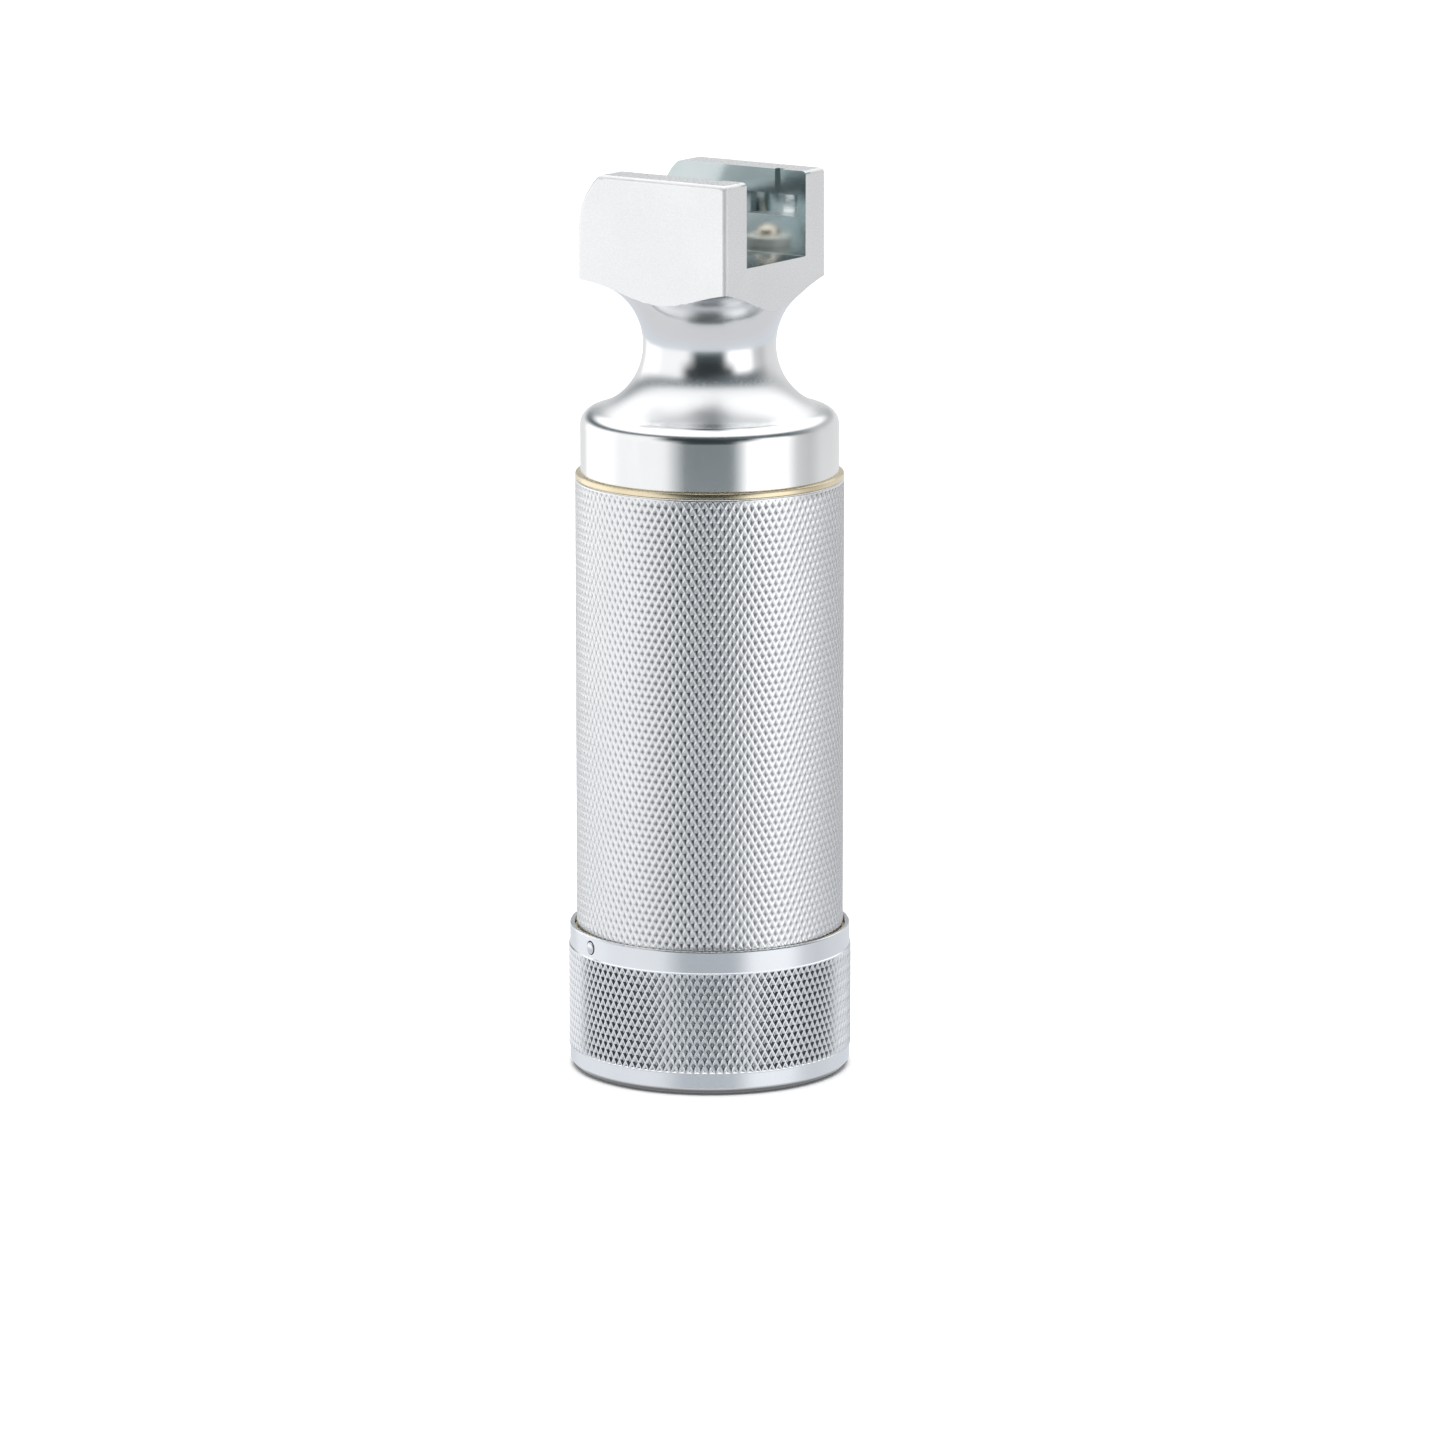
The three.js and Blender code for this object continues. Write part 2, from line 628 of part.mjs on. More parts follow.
addPiece(
  'contact_plunger',
  turned([
    [0, PLUNGER_STEM_LOW],
    [PLUNGER_STEM, PLUNGER_STEM_LOW],
    [PLUNGER_STEM, PLUNGER_COLLAR_LOW],
    [PLUNGER_COLLAR, PLUNGER_COLLAR_LOW],
    [PLUNGER_COLLAR, PLUNGER_COLLAR_HIGH],
    [PLUNGER_RADIUS, PLUNGER_COLLAR_HIGH],
    [PLUNGER_RADIUS, PLUNGER_TOP - PLUNGER_DOME],
    [PLUNGER_RADIUS * PLUNGER_DOME_SHARE, PLUNGER_TOP - PLUNGER_DOME_STEP],
    [0, PLUNGER_TOP],
  ], SMALL_ROUND),
  brass,
);
addPiece('plunger_spring', coil(PLUNGER_SPRING, ROD_HEAD_HIGH, PLUNGER_COLLAR_LOW), springSteel);

addPiece(
  'terminal_rod',
  turned([
    [0, ROD_FOOT_LOW],
    [ROD_FOOT_RADIUS, ROD_FOOT_LOW],
    [ROD_FOOT_RADIUS, BOARD_LOW - LEAF_THICKNESS],
    [ROD_RADIUS, BOARD_LOW - LEAF_THICKNESS],
    [ROD_RADIUS, ROD_HEAD_LOW],
    [INSULATOR_CAVITY - FIT_GAP, ROD_HEAD_LOW],
    [INSULATOR_CAVITY - FIT_GAP, ROD_HEAD_HIGH],
    [0, ROD_HEAD_HIGH],
  ], SMALL_ROUND),
  brass,
);
addPiece(
  'rod_sleeve',
  ring(SLEEVE_OUTER, SLEEVE_BORE, BOARD_HIGH, SLEEVE_HIGH, SMALL_ROUND),
  clearSleeve,
);

// ---- contact board, leaf contacts, screws and cradle -----------------------

const boardBlank = cylinder(BOARD_RADIUS, BOARD_LOW, BOARD_HIGH, 0, 0, ROUND);
const boardSpan = [BOARD_LOW - OVERSHOOT, BOARD_HIGH + OVERSHOOT];
const boardCuts = [
  cylinder(ROD_RADIUS + FIT_GAP, ...boardSpan),
  ...[-1, 1].map((side) =>
    cylinder(SCREW_SHANK + FIT_GAP, ...boardSpan, 0, side * SCREW_Y),
  ),
  block(
    [-BOARD_RADIUS - OVERSHOOT, GROUND_LEAF_X + LEAF_THICKNESS + STOP_GAP],
    [-LEAF_WIDTH / 2 - STOP_GAP, LEAF_WIDTH / 2 + STOP_GAP],
    boardSpan,
  ),
];
addPiece('top_contact_board', cut(boardBlank, boardCuts), blackPlastic);

// Both leaves lie under the board and bow down to touch a cell.
const leafHigh = BOARD_LOW - LEAF_THICKNESS;
const leafTip = CELL_LOW + CELL_LENGTH + PRESS_GAP;
const positiveLine = [
  [POSITIVE_LEAF_START, leafHigh],
  [POSITIVE_LEAF_BEND, leafHigh],
  [CELL_X - LEAF_FLAT, leafTip],
  [CELL_X + LEAF_FLAT, leafTip],
  [CELL_X + LEAF_TAIL, leafHigh - LEAF_TAIL_DROP],
];
const rodHoleInLeaf = cylinder(ROD_RADIUS + FIT_GAP, leafHigh - OVERSHOOT, BOARD_LOW + OVERSHOOT);
addPiece(
  'positive_contact',
  cut(bentStrip(positiveLine, LEAF_THICKNESS, LEAF_WIDTH), [rodHoleInLeaf]),
  nickel,
);

const groundLine = [
  [GROUND_LEAF_X, SPIGOT_END - PRESS_GAP],
  [GROUND_LEAF_X, leafHigh],
  [GROUND_LEAF_BEND, leafHigh],
  [-CELL_X - LEAF_FLAT, leafTip],
  [-CELL_X + LEAF_FLAT, leafTip],
  [-CELL_X + LEAF_TAIL, leafHigh - LEAF_TAIL_DROP],
];
addPiece('ground_contact', bentStrip(groundLine, LEAF_THICKNESS, LEAF_WIDTH), nickel);

Object.entries({ board_screw_left: -1, board_screw_right: 1 }).forEach(([name, side]) => {
  const screw = turned([
    [0, BOARD_LOW - SCREW_HEAD_HEIGHT],
    [SCREW_HEAD, BOARD_LOW - SCREW_HEAD_HEIGHT],
    [SCREW_HEAD, BOARD_LOW],
    [SCREW_SHANK, BOARD_LOW],
    [SCREW_SHANK, SCREW_END],
    [0, SCREW_END],
  ], SCREW_FACETS);
  addPiece(name, screw.translate(0, side * SCREW_Y, 0), springSteel);
});

const cradleBores = [-1, 1].map((side) =>
  cylinder(CRADLE_BORE, CRADLE_LOW - OVERSHOOT, CRADLE_HIGH + OVERSHOOT, side * CELL_X, 0, ROUND),
);
addPiece(
  'cell_cradle',
  cut(cylinder(CRADLE_RADIUS, CRADLE_LOW, CRADLE_HIGH, 0, 0, ROUND), cradleBores),
  blackPlastic,
);

export default handle;
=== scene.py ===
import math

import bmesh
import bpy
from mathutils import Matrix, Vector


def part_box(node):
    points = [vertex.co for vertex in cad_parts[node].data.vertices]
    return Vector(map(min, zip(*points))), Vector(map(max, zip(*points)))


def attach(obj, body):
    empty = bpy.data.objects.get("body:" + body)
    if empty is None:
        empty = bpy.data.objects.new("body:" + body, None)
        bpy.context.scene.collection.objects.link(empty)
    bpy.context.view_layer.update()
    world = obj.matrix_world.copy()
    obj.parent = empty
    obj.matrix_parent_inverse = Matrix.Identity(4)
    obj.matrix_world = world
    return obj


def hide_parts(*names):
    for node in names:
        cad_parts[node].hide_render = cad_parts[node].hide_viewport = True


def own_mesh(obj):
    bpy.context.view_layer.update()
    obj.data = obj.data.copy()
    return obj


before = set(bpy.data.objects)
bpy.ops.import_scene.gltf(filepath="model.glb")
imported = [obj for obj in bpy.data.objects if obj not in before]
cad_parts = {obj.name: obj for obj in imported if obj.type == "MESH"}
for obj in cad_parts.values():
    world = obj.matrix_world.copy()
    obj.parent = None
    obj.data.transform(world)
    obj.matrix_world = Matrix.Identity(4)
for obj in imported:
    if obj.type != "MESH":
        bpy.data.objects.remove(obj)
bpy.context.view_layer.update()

# Short laryngoscope handle: a knurled battery tube with a screw cap, a turned
# neck and a slotted yoke. Every piece is modelled round the axis of the tube,
# in metres, where the frame says its node is.

MM = 0.001
SEAM = 2e-6  # vertices closer than this are one
NEAR = 0.01 * MM  # points nearer than this are at the same place or height
CUT_SLACK = 0.0005 * MM  # vertices nearer than this to a cut lie on it


def low_of(node):
    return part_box(node)[0].z


def high_of(node):
    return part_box(node)[1].z


def radius_of(node):
    """Half the width of a node across X, which is its radius if it is round."""
    low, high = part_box(node)
    return (high.x - low.x) / 2


# ---- bench tools: selecting, turning, cutting and finishing -----------------

def take_only(piece):
    bpy.ops.object.select_all(action="DESELECT")
    piece.select_set(True)
    bpy.context.view_layer.objects.active = piece


def open_piece(piece):
    take_only(piece)
    bpy.ops.object.mode_set(mode="EDIT")


def close_piece():
    bpy.ops.object.mode_set(mode="OBJECT")
    return bpy.context.active_object


def pick(kind, test):
    """Selects the verts, edges or faces of the open piece that pass a test."""
    mesh = bpy.context.edit_object.data
    shape = bmesh.from_edit_mesh(mesh)
    bpy.ops.mesh.select_mode(type=kind)
    bpy.ops.mesh.select_all(action="DESELECT")
    group = {"VERT": shape.verts, "EDGE": shape.edges, "FACE": shape.faces}[kind]
    for element in group:
        if test(element):
            element.select_set(True)
    shape.select_flush_mode()
    bmesh.update_edit_mesh(mesh)


def pick_rim(height):
    """Selects the open rim that lies at a height."""
    pick("EDGE", lambda edge: edge.is_boundary
         and all(abs(vert.co.z - height) < NEAR for vert in edge.verts))


def weld_seams():
    bpy.ops.mesh.select_all(action="SELECT")
    bpy.ops.mesh.remove_doubles(threshold=SEAM)
    bpy.ops.mesh.normals_make_consistent(inside=False)


def settle(piece):
    """Puts the piece's place into its mesh."""
    take_only(piece)
    bpy.ops.object.transform_apply(location=True, rotation=True, scale=True)
    return piece


def name_piece(piece, name):
    piece.name = name
    piece.data.name = name
    return piece


def draw_profile(points):
    """Draws a profile of (radius, height) points in the XZ plane, one edge at a time."""
    bpy.ops.object.select_all(action="DESELECT")
    bpy.ops.mesh.primitive_plane_add(size=MM)
    bpy.ops.object.mode_set(mode="EDIT")
    bpy.ops.mesh.select_mode(type="VERT")
    bpy.ops.mesh.select_all(action="SELECT")
    bpy.ops.mesh.merge(type="CENTER")
    radius, height = points[0]
    bpy.ops.transform.translate(value=(radius, 0, height))
    for next_radius, next_height in points[1:]:
        step = (next_radius - radius, 0, next_height - height)
        bpy.ops.mesh.extrude_region_move(TRANSFORM_OT_translate={"value": step})
        radius, height = next_radius, next_height


def turn_piece(name, points, steps):
    """Turns a profile about the axis. It starts and ends on the axis or closes on itself."""
    draw_profile(points)
    bpy.ops.mesh.select_all(action="SELECT")
    bpy.ops.mesh.remove_doubles(threshold=SEAM)
    bpy.ops.mesh.spin(steps=steps, angle=2 * math.pi, center=(0, 0, 0), axis=(0, 0, 1))
    weld_seams()
    bpy.ops.mesh.dissolve_degenerate(threshold=SEAM)
    return name_piece(close_piece(), name)


def follow(radius, height, points):
    """Extrudes the selected rim from a radius and a height along a profile."""
    for next_radius, next_height in points:
        rise = (0, 0, next_height - height)
        scale = next_radius / radius
        bpy.ops.mesh.extrude_region_move(TRANSFORM_OT_translate={"value": rise})
        bpy.ops.transform.resize(
            value=(scale, scale, 1), center_override=(0, 0, next_height)
        )
        radius, height = next_radius, next_height


def arc(centre_r, centre_z, radius, start, end, steps):
    """Points of an arc in the profile's plane, from one angle to another, in degrees."""
    points = []
    for i in range(steps + 1):
        angle = math.radians(start + (end - start) * i / steps)
        points.append((centre_r + radius * math.cos(angle), centre_z + radius * math.sin(angle)))
    return points


TOOL_STEPS = 64


def block_tool(low, high):
    size = Vector(high) - Vector(low)
    middle = (Vector(high) + Vector(low)) / 2
    bpy.ops.object.select_all(action="DESELECT")
    bpy.ops.mesh.primitive_cube_add(size=1, location=middle, scale=size)
    return settle(bpy.context.active_object)


def round_tool(radius, low, high, x=0.0, y=0.0, steps=TOOL_STEPS):
    """A round tool along Z."""
    bpy.ops.object.select_all(action="DESELECT")
    bpy.ops.mesh.primitive_cylinder_add(
        vertices=steps, radius=radius, depth=high - low, location=(x, y, (low + high) / 2)
    )
    return settle(bpy.context.active_object)


def cross_tool(radius, near, far, x, z):
    """A round tool along Y."""
    bpy.ops.object.select_all(action="DESELECT")
    bpy.ops.mesh.primitive_cylinder_add(
        vertices=TOOL_STEPS, radius=radius, depth=far - near,
        location=(x, (near + far) / 2, z), rotation=(math.pi / 2, 0, 0),
    )
    return settle(bpy.context.active_object)


def join(piece, other):
    """Joins another piece into a piece, as one mesh."""
    bpy.ops.object.select_all(action="DESELECT")
    other.select_set(True)
    piece.select_set(True)
    bpy.context.view_layer.objects.active = piece
    bpy.ops.object.join()


def apply_modifier(piece, kind, **settings):
    take_only(piece)
    modifier = piece.modifiers.new(kind.lower(), kind)
    for setting, value in settings.items():
        setattr(modifier, setting, value)
    bpy.ops.object.modifier_apply(modifier=modifier.name)


def cut(piece, tool):
    apply_modifier(piece, "BOOLEAN", object=tool, operation="DIFFERENCE", solver="EXACT")
    bpy.data.objects.remove(tool, do_unlink=True)


def smooth(piece, angle=30):
    take_only(piece)
    bpy.ops.object.shade_smooth_by_angle(angle=math.radians(angle))


def place(piece, body, node, slot, *materials):
    """Puts a finished piece on its body in place of its node."""
    piece.data.materials.clear()
    for material in materials:
        piece.data.materials.append(material)
    settle(piece)
    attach(piece, body)
    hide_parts(node)


# ---- finishes -----------------------------------------------------------------

CLOUD_SIZE = 9 * MM  # how wide the soft changes of tone in a metal are
CLOUD_SHARE = 0.7
MOULD_CLOUD_SIZE = 6 * MM
EDGE_START, EDGE_END = 0.52, 0.6  # Pointiness where an outer edge begins and is sharp
FINE_BUMP, CLOUD_BUMP = 0.35, 0.15
MOULD_BUMP = 0.3
MOULD_GRAIN = 0.25 * MM
NOISE_ROUGHNESS = 0.55
METAL_SPREAD = (0.75, 1.3)  # shares of a metal's roughness that its grain runs between
MOULD_SPREAD = (0.85, 1.15)
CAP_AROUND = 116
TUBE_AROUND = 110
KNURL_LAND = 0.07 * MM
KNURL_SLOPE = 0.25 * MM
KNURL_DEPTH = 0.24 * MM
KNURL_SKIN = 1.5 * KNURL_DEPTH  # a wall's faces this near to its crest are its knurl
# Painted shade in the knurl's pits: their floors darken to this share of the dark tone.
PIT_PAINTED_SHADE = 0.55
# Shares of the knurl's depth where the painted pit shade is full and where it starts.
HOLLOW_DARK, HOLLOW_START = 0.95, 0.35  # shares of the knurl's depth
FOOT_PAINTED_SHADOW = 0.25
# How dark the painted shadow along the cap's bottom edge is, as a share of the dark tone.
BRUSHED_EXTRA = 0.17
SHOULDER_HEIGHTS = (83.4 * MM, 84.2 * MM, 86.6 * MM, 89.5 * MM)
# The heights over which the painted shadow along the cap's bottom edge fades out.
FOOT_SHADOW_HEIGHTS = (0.4 * MM, 0.7 * MM)
CELL_BARE_END = 0.9 * MM
CELL_BUTTON = 1.0 * MM
FILM_STEP = 0.04 * MM


class Finish:
    """A Principled material with helpers for its grain and its wear."""

    def __init__(self, name):
        self.material = bpy.data.materials.new(name)
        self.material.use_nodes = True
        self.nodes = self.material.node_tree.nodes
        self.links = self.material.node_tree.links
        self.shader = self.nodes["Principled BSDF"]
        self.place = self.nodes.new("ShaderNodeTexCoord").outputs["Object"]

    def set(self, **values):
        for socket, value in values.items():
            self.shader.inputs[socket.replace("_", " ")].default_value = value
        return self

    def mapped(self, scale):
        mapping = self.nodes.new("ShaderNodeMapping")
        mapping.inputs["Scale"].default_value = scale
        self.links.new(self.place, mapping.inputs["Vector"])
        return mapping.outputs["Vector"]

    def noise(self, size, stretch=(1, 1, 1), detail=3.0):
        """Noise whose features are about a size across, stretched along axes."""
        noise = self.nodes.new("ShaderNodeTexNoise")
        noise.inputs["Scale"].default_value = 1.0
        noise.inputs["Detail"].default_value = detail
        noise.inputs["Roughness"].default_value = NOISE_ROUGHNESS
        scale = [1 / (size * along) for along in stretch]
        self.links.new(self.mapped(scale), noise.inputs["Vector"])
        return noise.outputs["Fac"]

    def spread(self, value, low, high, start=0.3, end=0.7):
        """Maps a value between start and end onto the range from low to high."""
        node = self.nodes.new("ShaderNodeMapRange")
        node.inputs["From Min"].default_value = start
        node.inputs["From Max"].default_value = end
        node.inputs["To Min"].default_value = low
        node.inputs["To Max"].default_value = high
        self.links.new(value, node.inputs["Value"])
        return node.outputs["Result"]

    def blend(self, factor, first, second):
        """Mixes two colours, or a colour and another node's colour."""
        node = self.nodes.new("ShaderNodeMix")
        node.data_type = "RGBA"
        for socket, colour in (("A", first), ("B", second)):
            if isinstance(colour, tuple):
                node.inputs[socket].default_value = (*colour, 1)
            else:
                self.links.new(colour, node.inputs[socket])
        self.links.new(factor, node.inputs["Factor"])
        return node.outputs["Result"]

    def height(self, low, high):
        """0 below a height and 1 above another."""
        split = self.nodes.new("ShaderNodeSeparateXYZ")
        self.links.new(self.place, split.inputs["Vector"])
        return self.spread(split.outputs["Z"], 0, 1, low, high)

    def reach(self, near, far):
        """0 nearer to the axis than one radius and 1 further out than another."""
        length = self.nodes.new("ShaderNodeVectorMath")
        length.operation = "LENGTH"
        self.links.new(self.mapped((1, 1, 0)), length.inputs[0])
        return self.spread(length.outputs["Value"], 0, 1, near, far)

    def worn_edges(self, amount):
        """An amount on sharp outer edges and 0 elsewhere."""
        geometry = self.nodes.new("ShaderNodeNewGeometry")
        return self.spread(geometry.outputs["Pointiness"], 0, amount, EDGE_START, EDGE_END)

    def combine(self, operation, first, second):
        """Adds or multiplies two values, held between 0 and 1."""
        node = self.nodes.new("ShaderNodeMath")
        node.operation = operation
        node.use_clamp = True
        self.links.new(first, node.inputs[0])
        self.links.new(second, node.inputs[1])
        return node.outputs["Value"]

    def paint(self, socket, value):
        self.links.new(value, self.shader.inputs[socket])

    def bump(self, *layers):
        """Bumps stacked in order, each a (height, strength, depth) triple."""
        normal = None
        for height, strength, depth in layers:
            node = self.nodes.new("ShaderNodeBump")
            node.inputs["Strength"].default_value = strength
            node.inputs["Distance"].default_value = depth
            self.links.new(height, node.inputs["Height"])
            if normal:
                self.links.new(normal, node.inputs["Normal"])
            normal = node.outputs["Normal"]
        self.links.new(normal, self.shader.inputs["Normal"])


def metal(name, light, dark, roughness, grain, grain_depth, stretch=(1, 1, 1), wear=0.4,
          pits=None, foot=None, brushed=None):
    """A metal with soft tone variation, a fine grain and brighter worn edges.

    Pits are the radii between which a knurled wall's hollows turn darker, a painted shade in the
    pits, and foot the heights between which a painted shadow along the bottom edge fades to the
    bright metal. Brushed
    gives four heights: the polish gets coarser over the first two and finer again
    over the last two.
    """
    finish = Finish(name).set(Metallic=1.0)
    clouds = finish.noise(CLOUD_SIZE, detail=2.0)
    fine = finish.noise(grain, stretch, detail=4.0)
    tone = finish.combine("ADD", finish.spread(clouds, 0, CLOUD_SHARE),
                          finish.worn_edges(wear))
    colour = finish.blend(tone, dark, light)
    # Painted shadow: below the foot heights the colour darkens to a quarter of the dark tone, a
    # painted contact shadow along the bottom edge.
    if foot:
        painted_foot_shadow = tuple(channel * FOOT_PAINTED_SHADOW for channel in dark)
        colour = finish.blend(finish.height(*foot), painted_foot_shadow, colour)
    # Painted shade: the knurl's pits darken towards their floors, by radius.
    if pits:
        painted_pit_shade = tuple(channel * PIT_PAINTED_SHADE for channel in dark)
        colour = finish.blend(finish.reach(*pits), painted_pit_shade, colour)
    finish.paint("Base Color", colour)
    gloss = finish.spread(fine, *(roughness * share for share in METAL_SPREAD))
    if brushed:
        rise = finish.height(brushed[0], brushed[1])
        fall = finish.height(brushed[3], brushed[2])
        zone = finish.combine("MULTIPLY", rise, fall)
        gloss = finish.combine("ADD", gloss, finish.spread(zone, 0, BRUSHED_EXTRA, 0, 1))
    finish.paint("Roughness", gloss)
    finish.bump((fine, FINE_BUMP, grain_depth), (clouds, CLOUD_BUMP, 0.01 * MM))
    return finish.material


def moulding(name, light, dark, roughness):
    """A moulded plastic or rubber with a fine matt grain."""
    finish = Finish(name)
    clouds = finish.noise(MOULD_CLOUD_SIZE, detail=2.0)
    fine = finish.noise(MOULD_GRAIN, detail=3.0)
    finish.paint("Base Color", finish.blend(finish.spread(clouds, 0, 1), dark, light))
    finish.paint("Roughness", finish.spread(fine, *(roughness * share for share in MOULD_SPREAD)))
    finish.bump((fine, MOULD_BUMP, 0.01 * MM))
    return finish.material


def painted_pit_shade_radii(node):
    """The radii of a knurled node between which its pits turn dark, a painted shade in the pits.
    """
    crest = radius_of(node)
    return crest - HOLLOW_DARK * KNURL_DEPTH, crest - HOLLOW_START * KNURL_DEPTH


satin_flats = metal("satin_flats", (0.95, 0.95, 0.955), (0.90, 0.905, 0.91), 0.3,
                    0.05 * MM, 0.004 * MM, stretch=(6, 6, 1))
# Painted shade: the slot's faces get a darker, teal-grey colour that stands in for the shade
# inside the slot; the fine milled grain and gloss are real.
milled_slot_painted_shade = metal("milled_slot_painted_shade", (0.72, 0.77, 0.78), (0.54, 0.61, 0.62), 0.12,
                    0.06 * MM, 0.006 * MM, stretch=(40, 6, 1))
tumbled_edge = metal("tumbled_edge", (0.95, 0.955, 0.96), (0.90, 0.905, 0.91), 0.62,
                     0.05 * MM, 0.002 * MM)
polished_turning = metal("polished_turning", (0.90, 0.905, 0.91), (0.85, 0.86, 0.87), 0.17,
                         0.07 * MM, 0.0022 * MM, stretch=(3, 3, 1), brushed=SHOULDER_HEIGHTS)
# The tube's knurl pits carry a painted shade.
tube_knurl = metal("tube_knurl", (0.93, 0.935, 0.94), (0.88, 0.885, 0.895), 0.26,
                   0.08 * MM, 0.002 * MM, wear=0.8, pits=painted_pit_shade_radii("knurled_tube"))
plain_plate = metal("plain_plate", (0.88, 0.885, 0.89), (0.83, 0.835, 0.845), 0.22,
                    0.08 * MM, 0.002 * MM, stretch=(6, 6, 1), wear=0.8)
# The cap's plate carries a painted shadow along its bottom edge.
cap_plate = metal("cap_plate", (0.87, 0.885, 0.905), (0.81, 0.83, 0.855), 0.2,
                  0.08 * MM, 0.002 * MM, stretch=(6, 6, 1), wear=0.8,
                  foot=FOOT_SHADOW_HEIGHTS)
# The cap's knurl pits carry a painted shade.
cap_knurl = metal("cap_knurl", (0.87, 0.885, 0.905), (0.81, 0.83, 0.855), 0.2,
                  0.08 * MM, 0.002 * MM, wear=0.8, pits=painted_pit_shade_radii("cap_shell"))
ground_steel = metal("ground_steel", (0.82, 0.83, 0.84), (0.74, 0.75, 0.77), 0.12,
                     0.06 * MM, 0.001 * MM)
ring_brass = metal("ring_brass", (0.90, 0.80, 0.60), (0.80, 0.68, 0.46), 0.25,
                   0.06 * MM, 0.0015 * MM, stretch=(6, 6, 1))
pale_brass = metal("pale_brass", (0.88, 0.77, 0.66), (0.80, 0.69, 0.58), 0.26,
                   0.06 * MM, 0.001 * MM, stretch=(8, 8, 1))
turned_brass = metal("turned_brass", (0.88, 0.70, 0.36), (0.80, 0.60, 0.28), 0.2,
                     0.06 * MM, 0.0015 * MM, stretch=(6, 6, 1))
nickel_sheet = metal("nickel_sheet", (0.80, 0.78, 0.72), (0.70, 0.68, 0.62), 0.25,
                     0.07 * MM, 0.002 * MM)
drawn_steel = metal("drawn_steel", (0.66, 0.67, 0.69), (0.55, 0.56, 0.58), 0.28,
                    0.05 * MM, 0.001 * MM)
cream_insulator = moulding("cream_insulator", (0.56, 0.555, 0.51), (0.50, 0.495, 0.455), 0.35)
black_moulding = moulding("black_moulding", (0.05, 0.05, 0.053), (0.025, 0.025, 0.028), 0.55)
pale_sleeve = moulding("pale_sleeve", (0.80, 0.81, 0.78), (0.70, 0.71, 0.69), 0.4)
black_rubber = moulding("black_rubber", (0.03, 0.03, 0.032), (0.014, 0.014, 0.016), 0.75)


def cell_wrap(node):
    """A printed-film jacket on a cell, with bare nickelled steel at its two ends."""
    finish = Finish(node + "_finish")
    low = low_of(node) + CELL_BARE_END
    high = high_of(node) - CELL_BARE_END - CELL_BUTTON
    clouds = finish.noise(MOULD_CLOUD_SIZE, detail=2.0)
    fine = finish.noise(MOULD_GRAIN, detail=3.0)
    film = finish.blend(finish.spread(clouds, 0, 1), (0.03, 0.10, 0.065), (0.05, 0.14, 0.09))
    steel = finish.blend(finish.spread(clouds, 0, 1), (0.55, 0.55, 0.54), (0.66, 0.66, 0.65))
    above = finish.height(high, high + FILM_STEP)
    below = finish.height(low, low - FILM_STEP)
    bare = finish.combine("ADD", above, below)
    finish.paint("Base Color", finish.blend(bare, film, steel))
    finish.paint("Metallic", bare)
    finish.paint("Roughness", finish.spread(fine, 0.24, 0.36))
    finish.bump((fine, MOULD_BUMP, 0.004 * MM))
    return finish.material


# ---- knurled walls --------------------------------------------------------------

def knurled_wall(radius, low, high, around, rows):
    """Opens an upright wall of diamond knurling: pits in a lattice of narrow lands."""
    bpy.ops.object.select_all(action="DESELECT")
    bpy.ops.mesh.primitive_cylinder_add(
        vertices=around, radius=radius, depth=high - low, end_fill_type="NOTHING",
        location=(0, 0, (low + high) / 2),
    )
    wall = settle(bpy.context.active_object)
    open_piece(wall)
    pick("EDGE", lambda edge: abs(edge.verts[0].co.z - edge.verts[1].co.z) > 0.1 * MM)
    bpy.ops.mesh.subdivide(number_cuts=rows - 1)
    bpy.ops.mesh.select_all(action="SELECT")
    bpy.ops.mesh.poke()
    half_step = math.pi / around

    def on_old_grid(edge):
        first, second = (vert.co for vert in edge.verts)
        if abs(first.z - second.z) < NEAR:
            return not edge.is_boundary
        turn = math.atan2(first.y, first.x) - math.atan2(second.y, second.x)
        return abs(math.sin(turn)) < half_step / 2

    pick("EDGE", on_old_grid)
    bpy.ops.mesh.dissolve_edges(use_verts=False)
    pick("FACE", lambda face: True)
    bpy.ops.mesh.inset(thickness=KNURL_LAND, use_individual=True)
    bpy.ops.mesh.inset(thickness=KNURL_SLOPE, depth=-KNURL_DEPTH, use_individual=True)
    return wall


def finish_knurl(piece, crest, low, high):
    """Gives a piece's knurled faces its second finish and the rest its first."""
    for face in piece.data.polygons:
        in_band = low < face.center.z < high
        outside = math.hypot(face.center.x, face.center.y) > crest - KNURL_SKIN
        face.material_index = int(in_band and outside)


# ---- screw cap ------------------------------------------------------------------

PIN_NODES = ("cap_pin_near", "cap_pin_far")
PIN_PROUD = 0.55 * MM  # from the middle of the pin's node to the top of its head
PIN_HEAD = 0.75 * MM
PIN_LENGTH = 1.1 * MM
PIN_DOME = 0.3 * MM
PIN_HOLE = 0.9 * MM
CAP_ROWS = 7
CAP_SMOOTH = 24
PIVOT_HOLE = 1.15 * MM
PIVOT_SEAT = 0.5 * MM


def pin_place(node):
    """The middle of a cap pin and its bearing round the cap."""
    low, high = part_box(node)
    middle = (low + high) / 2
    return middle, math.atan2(middle.y, middle.x)


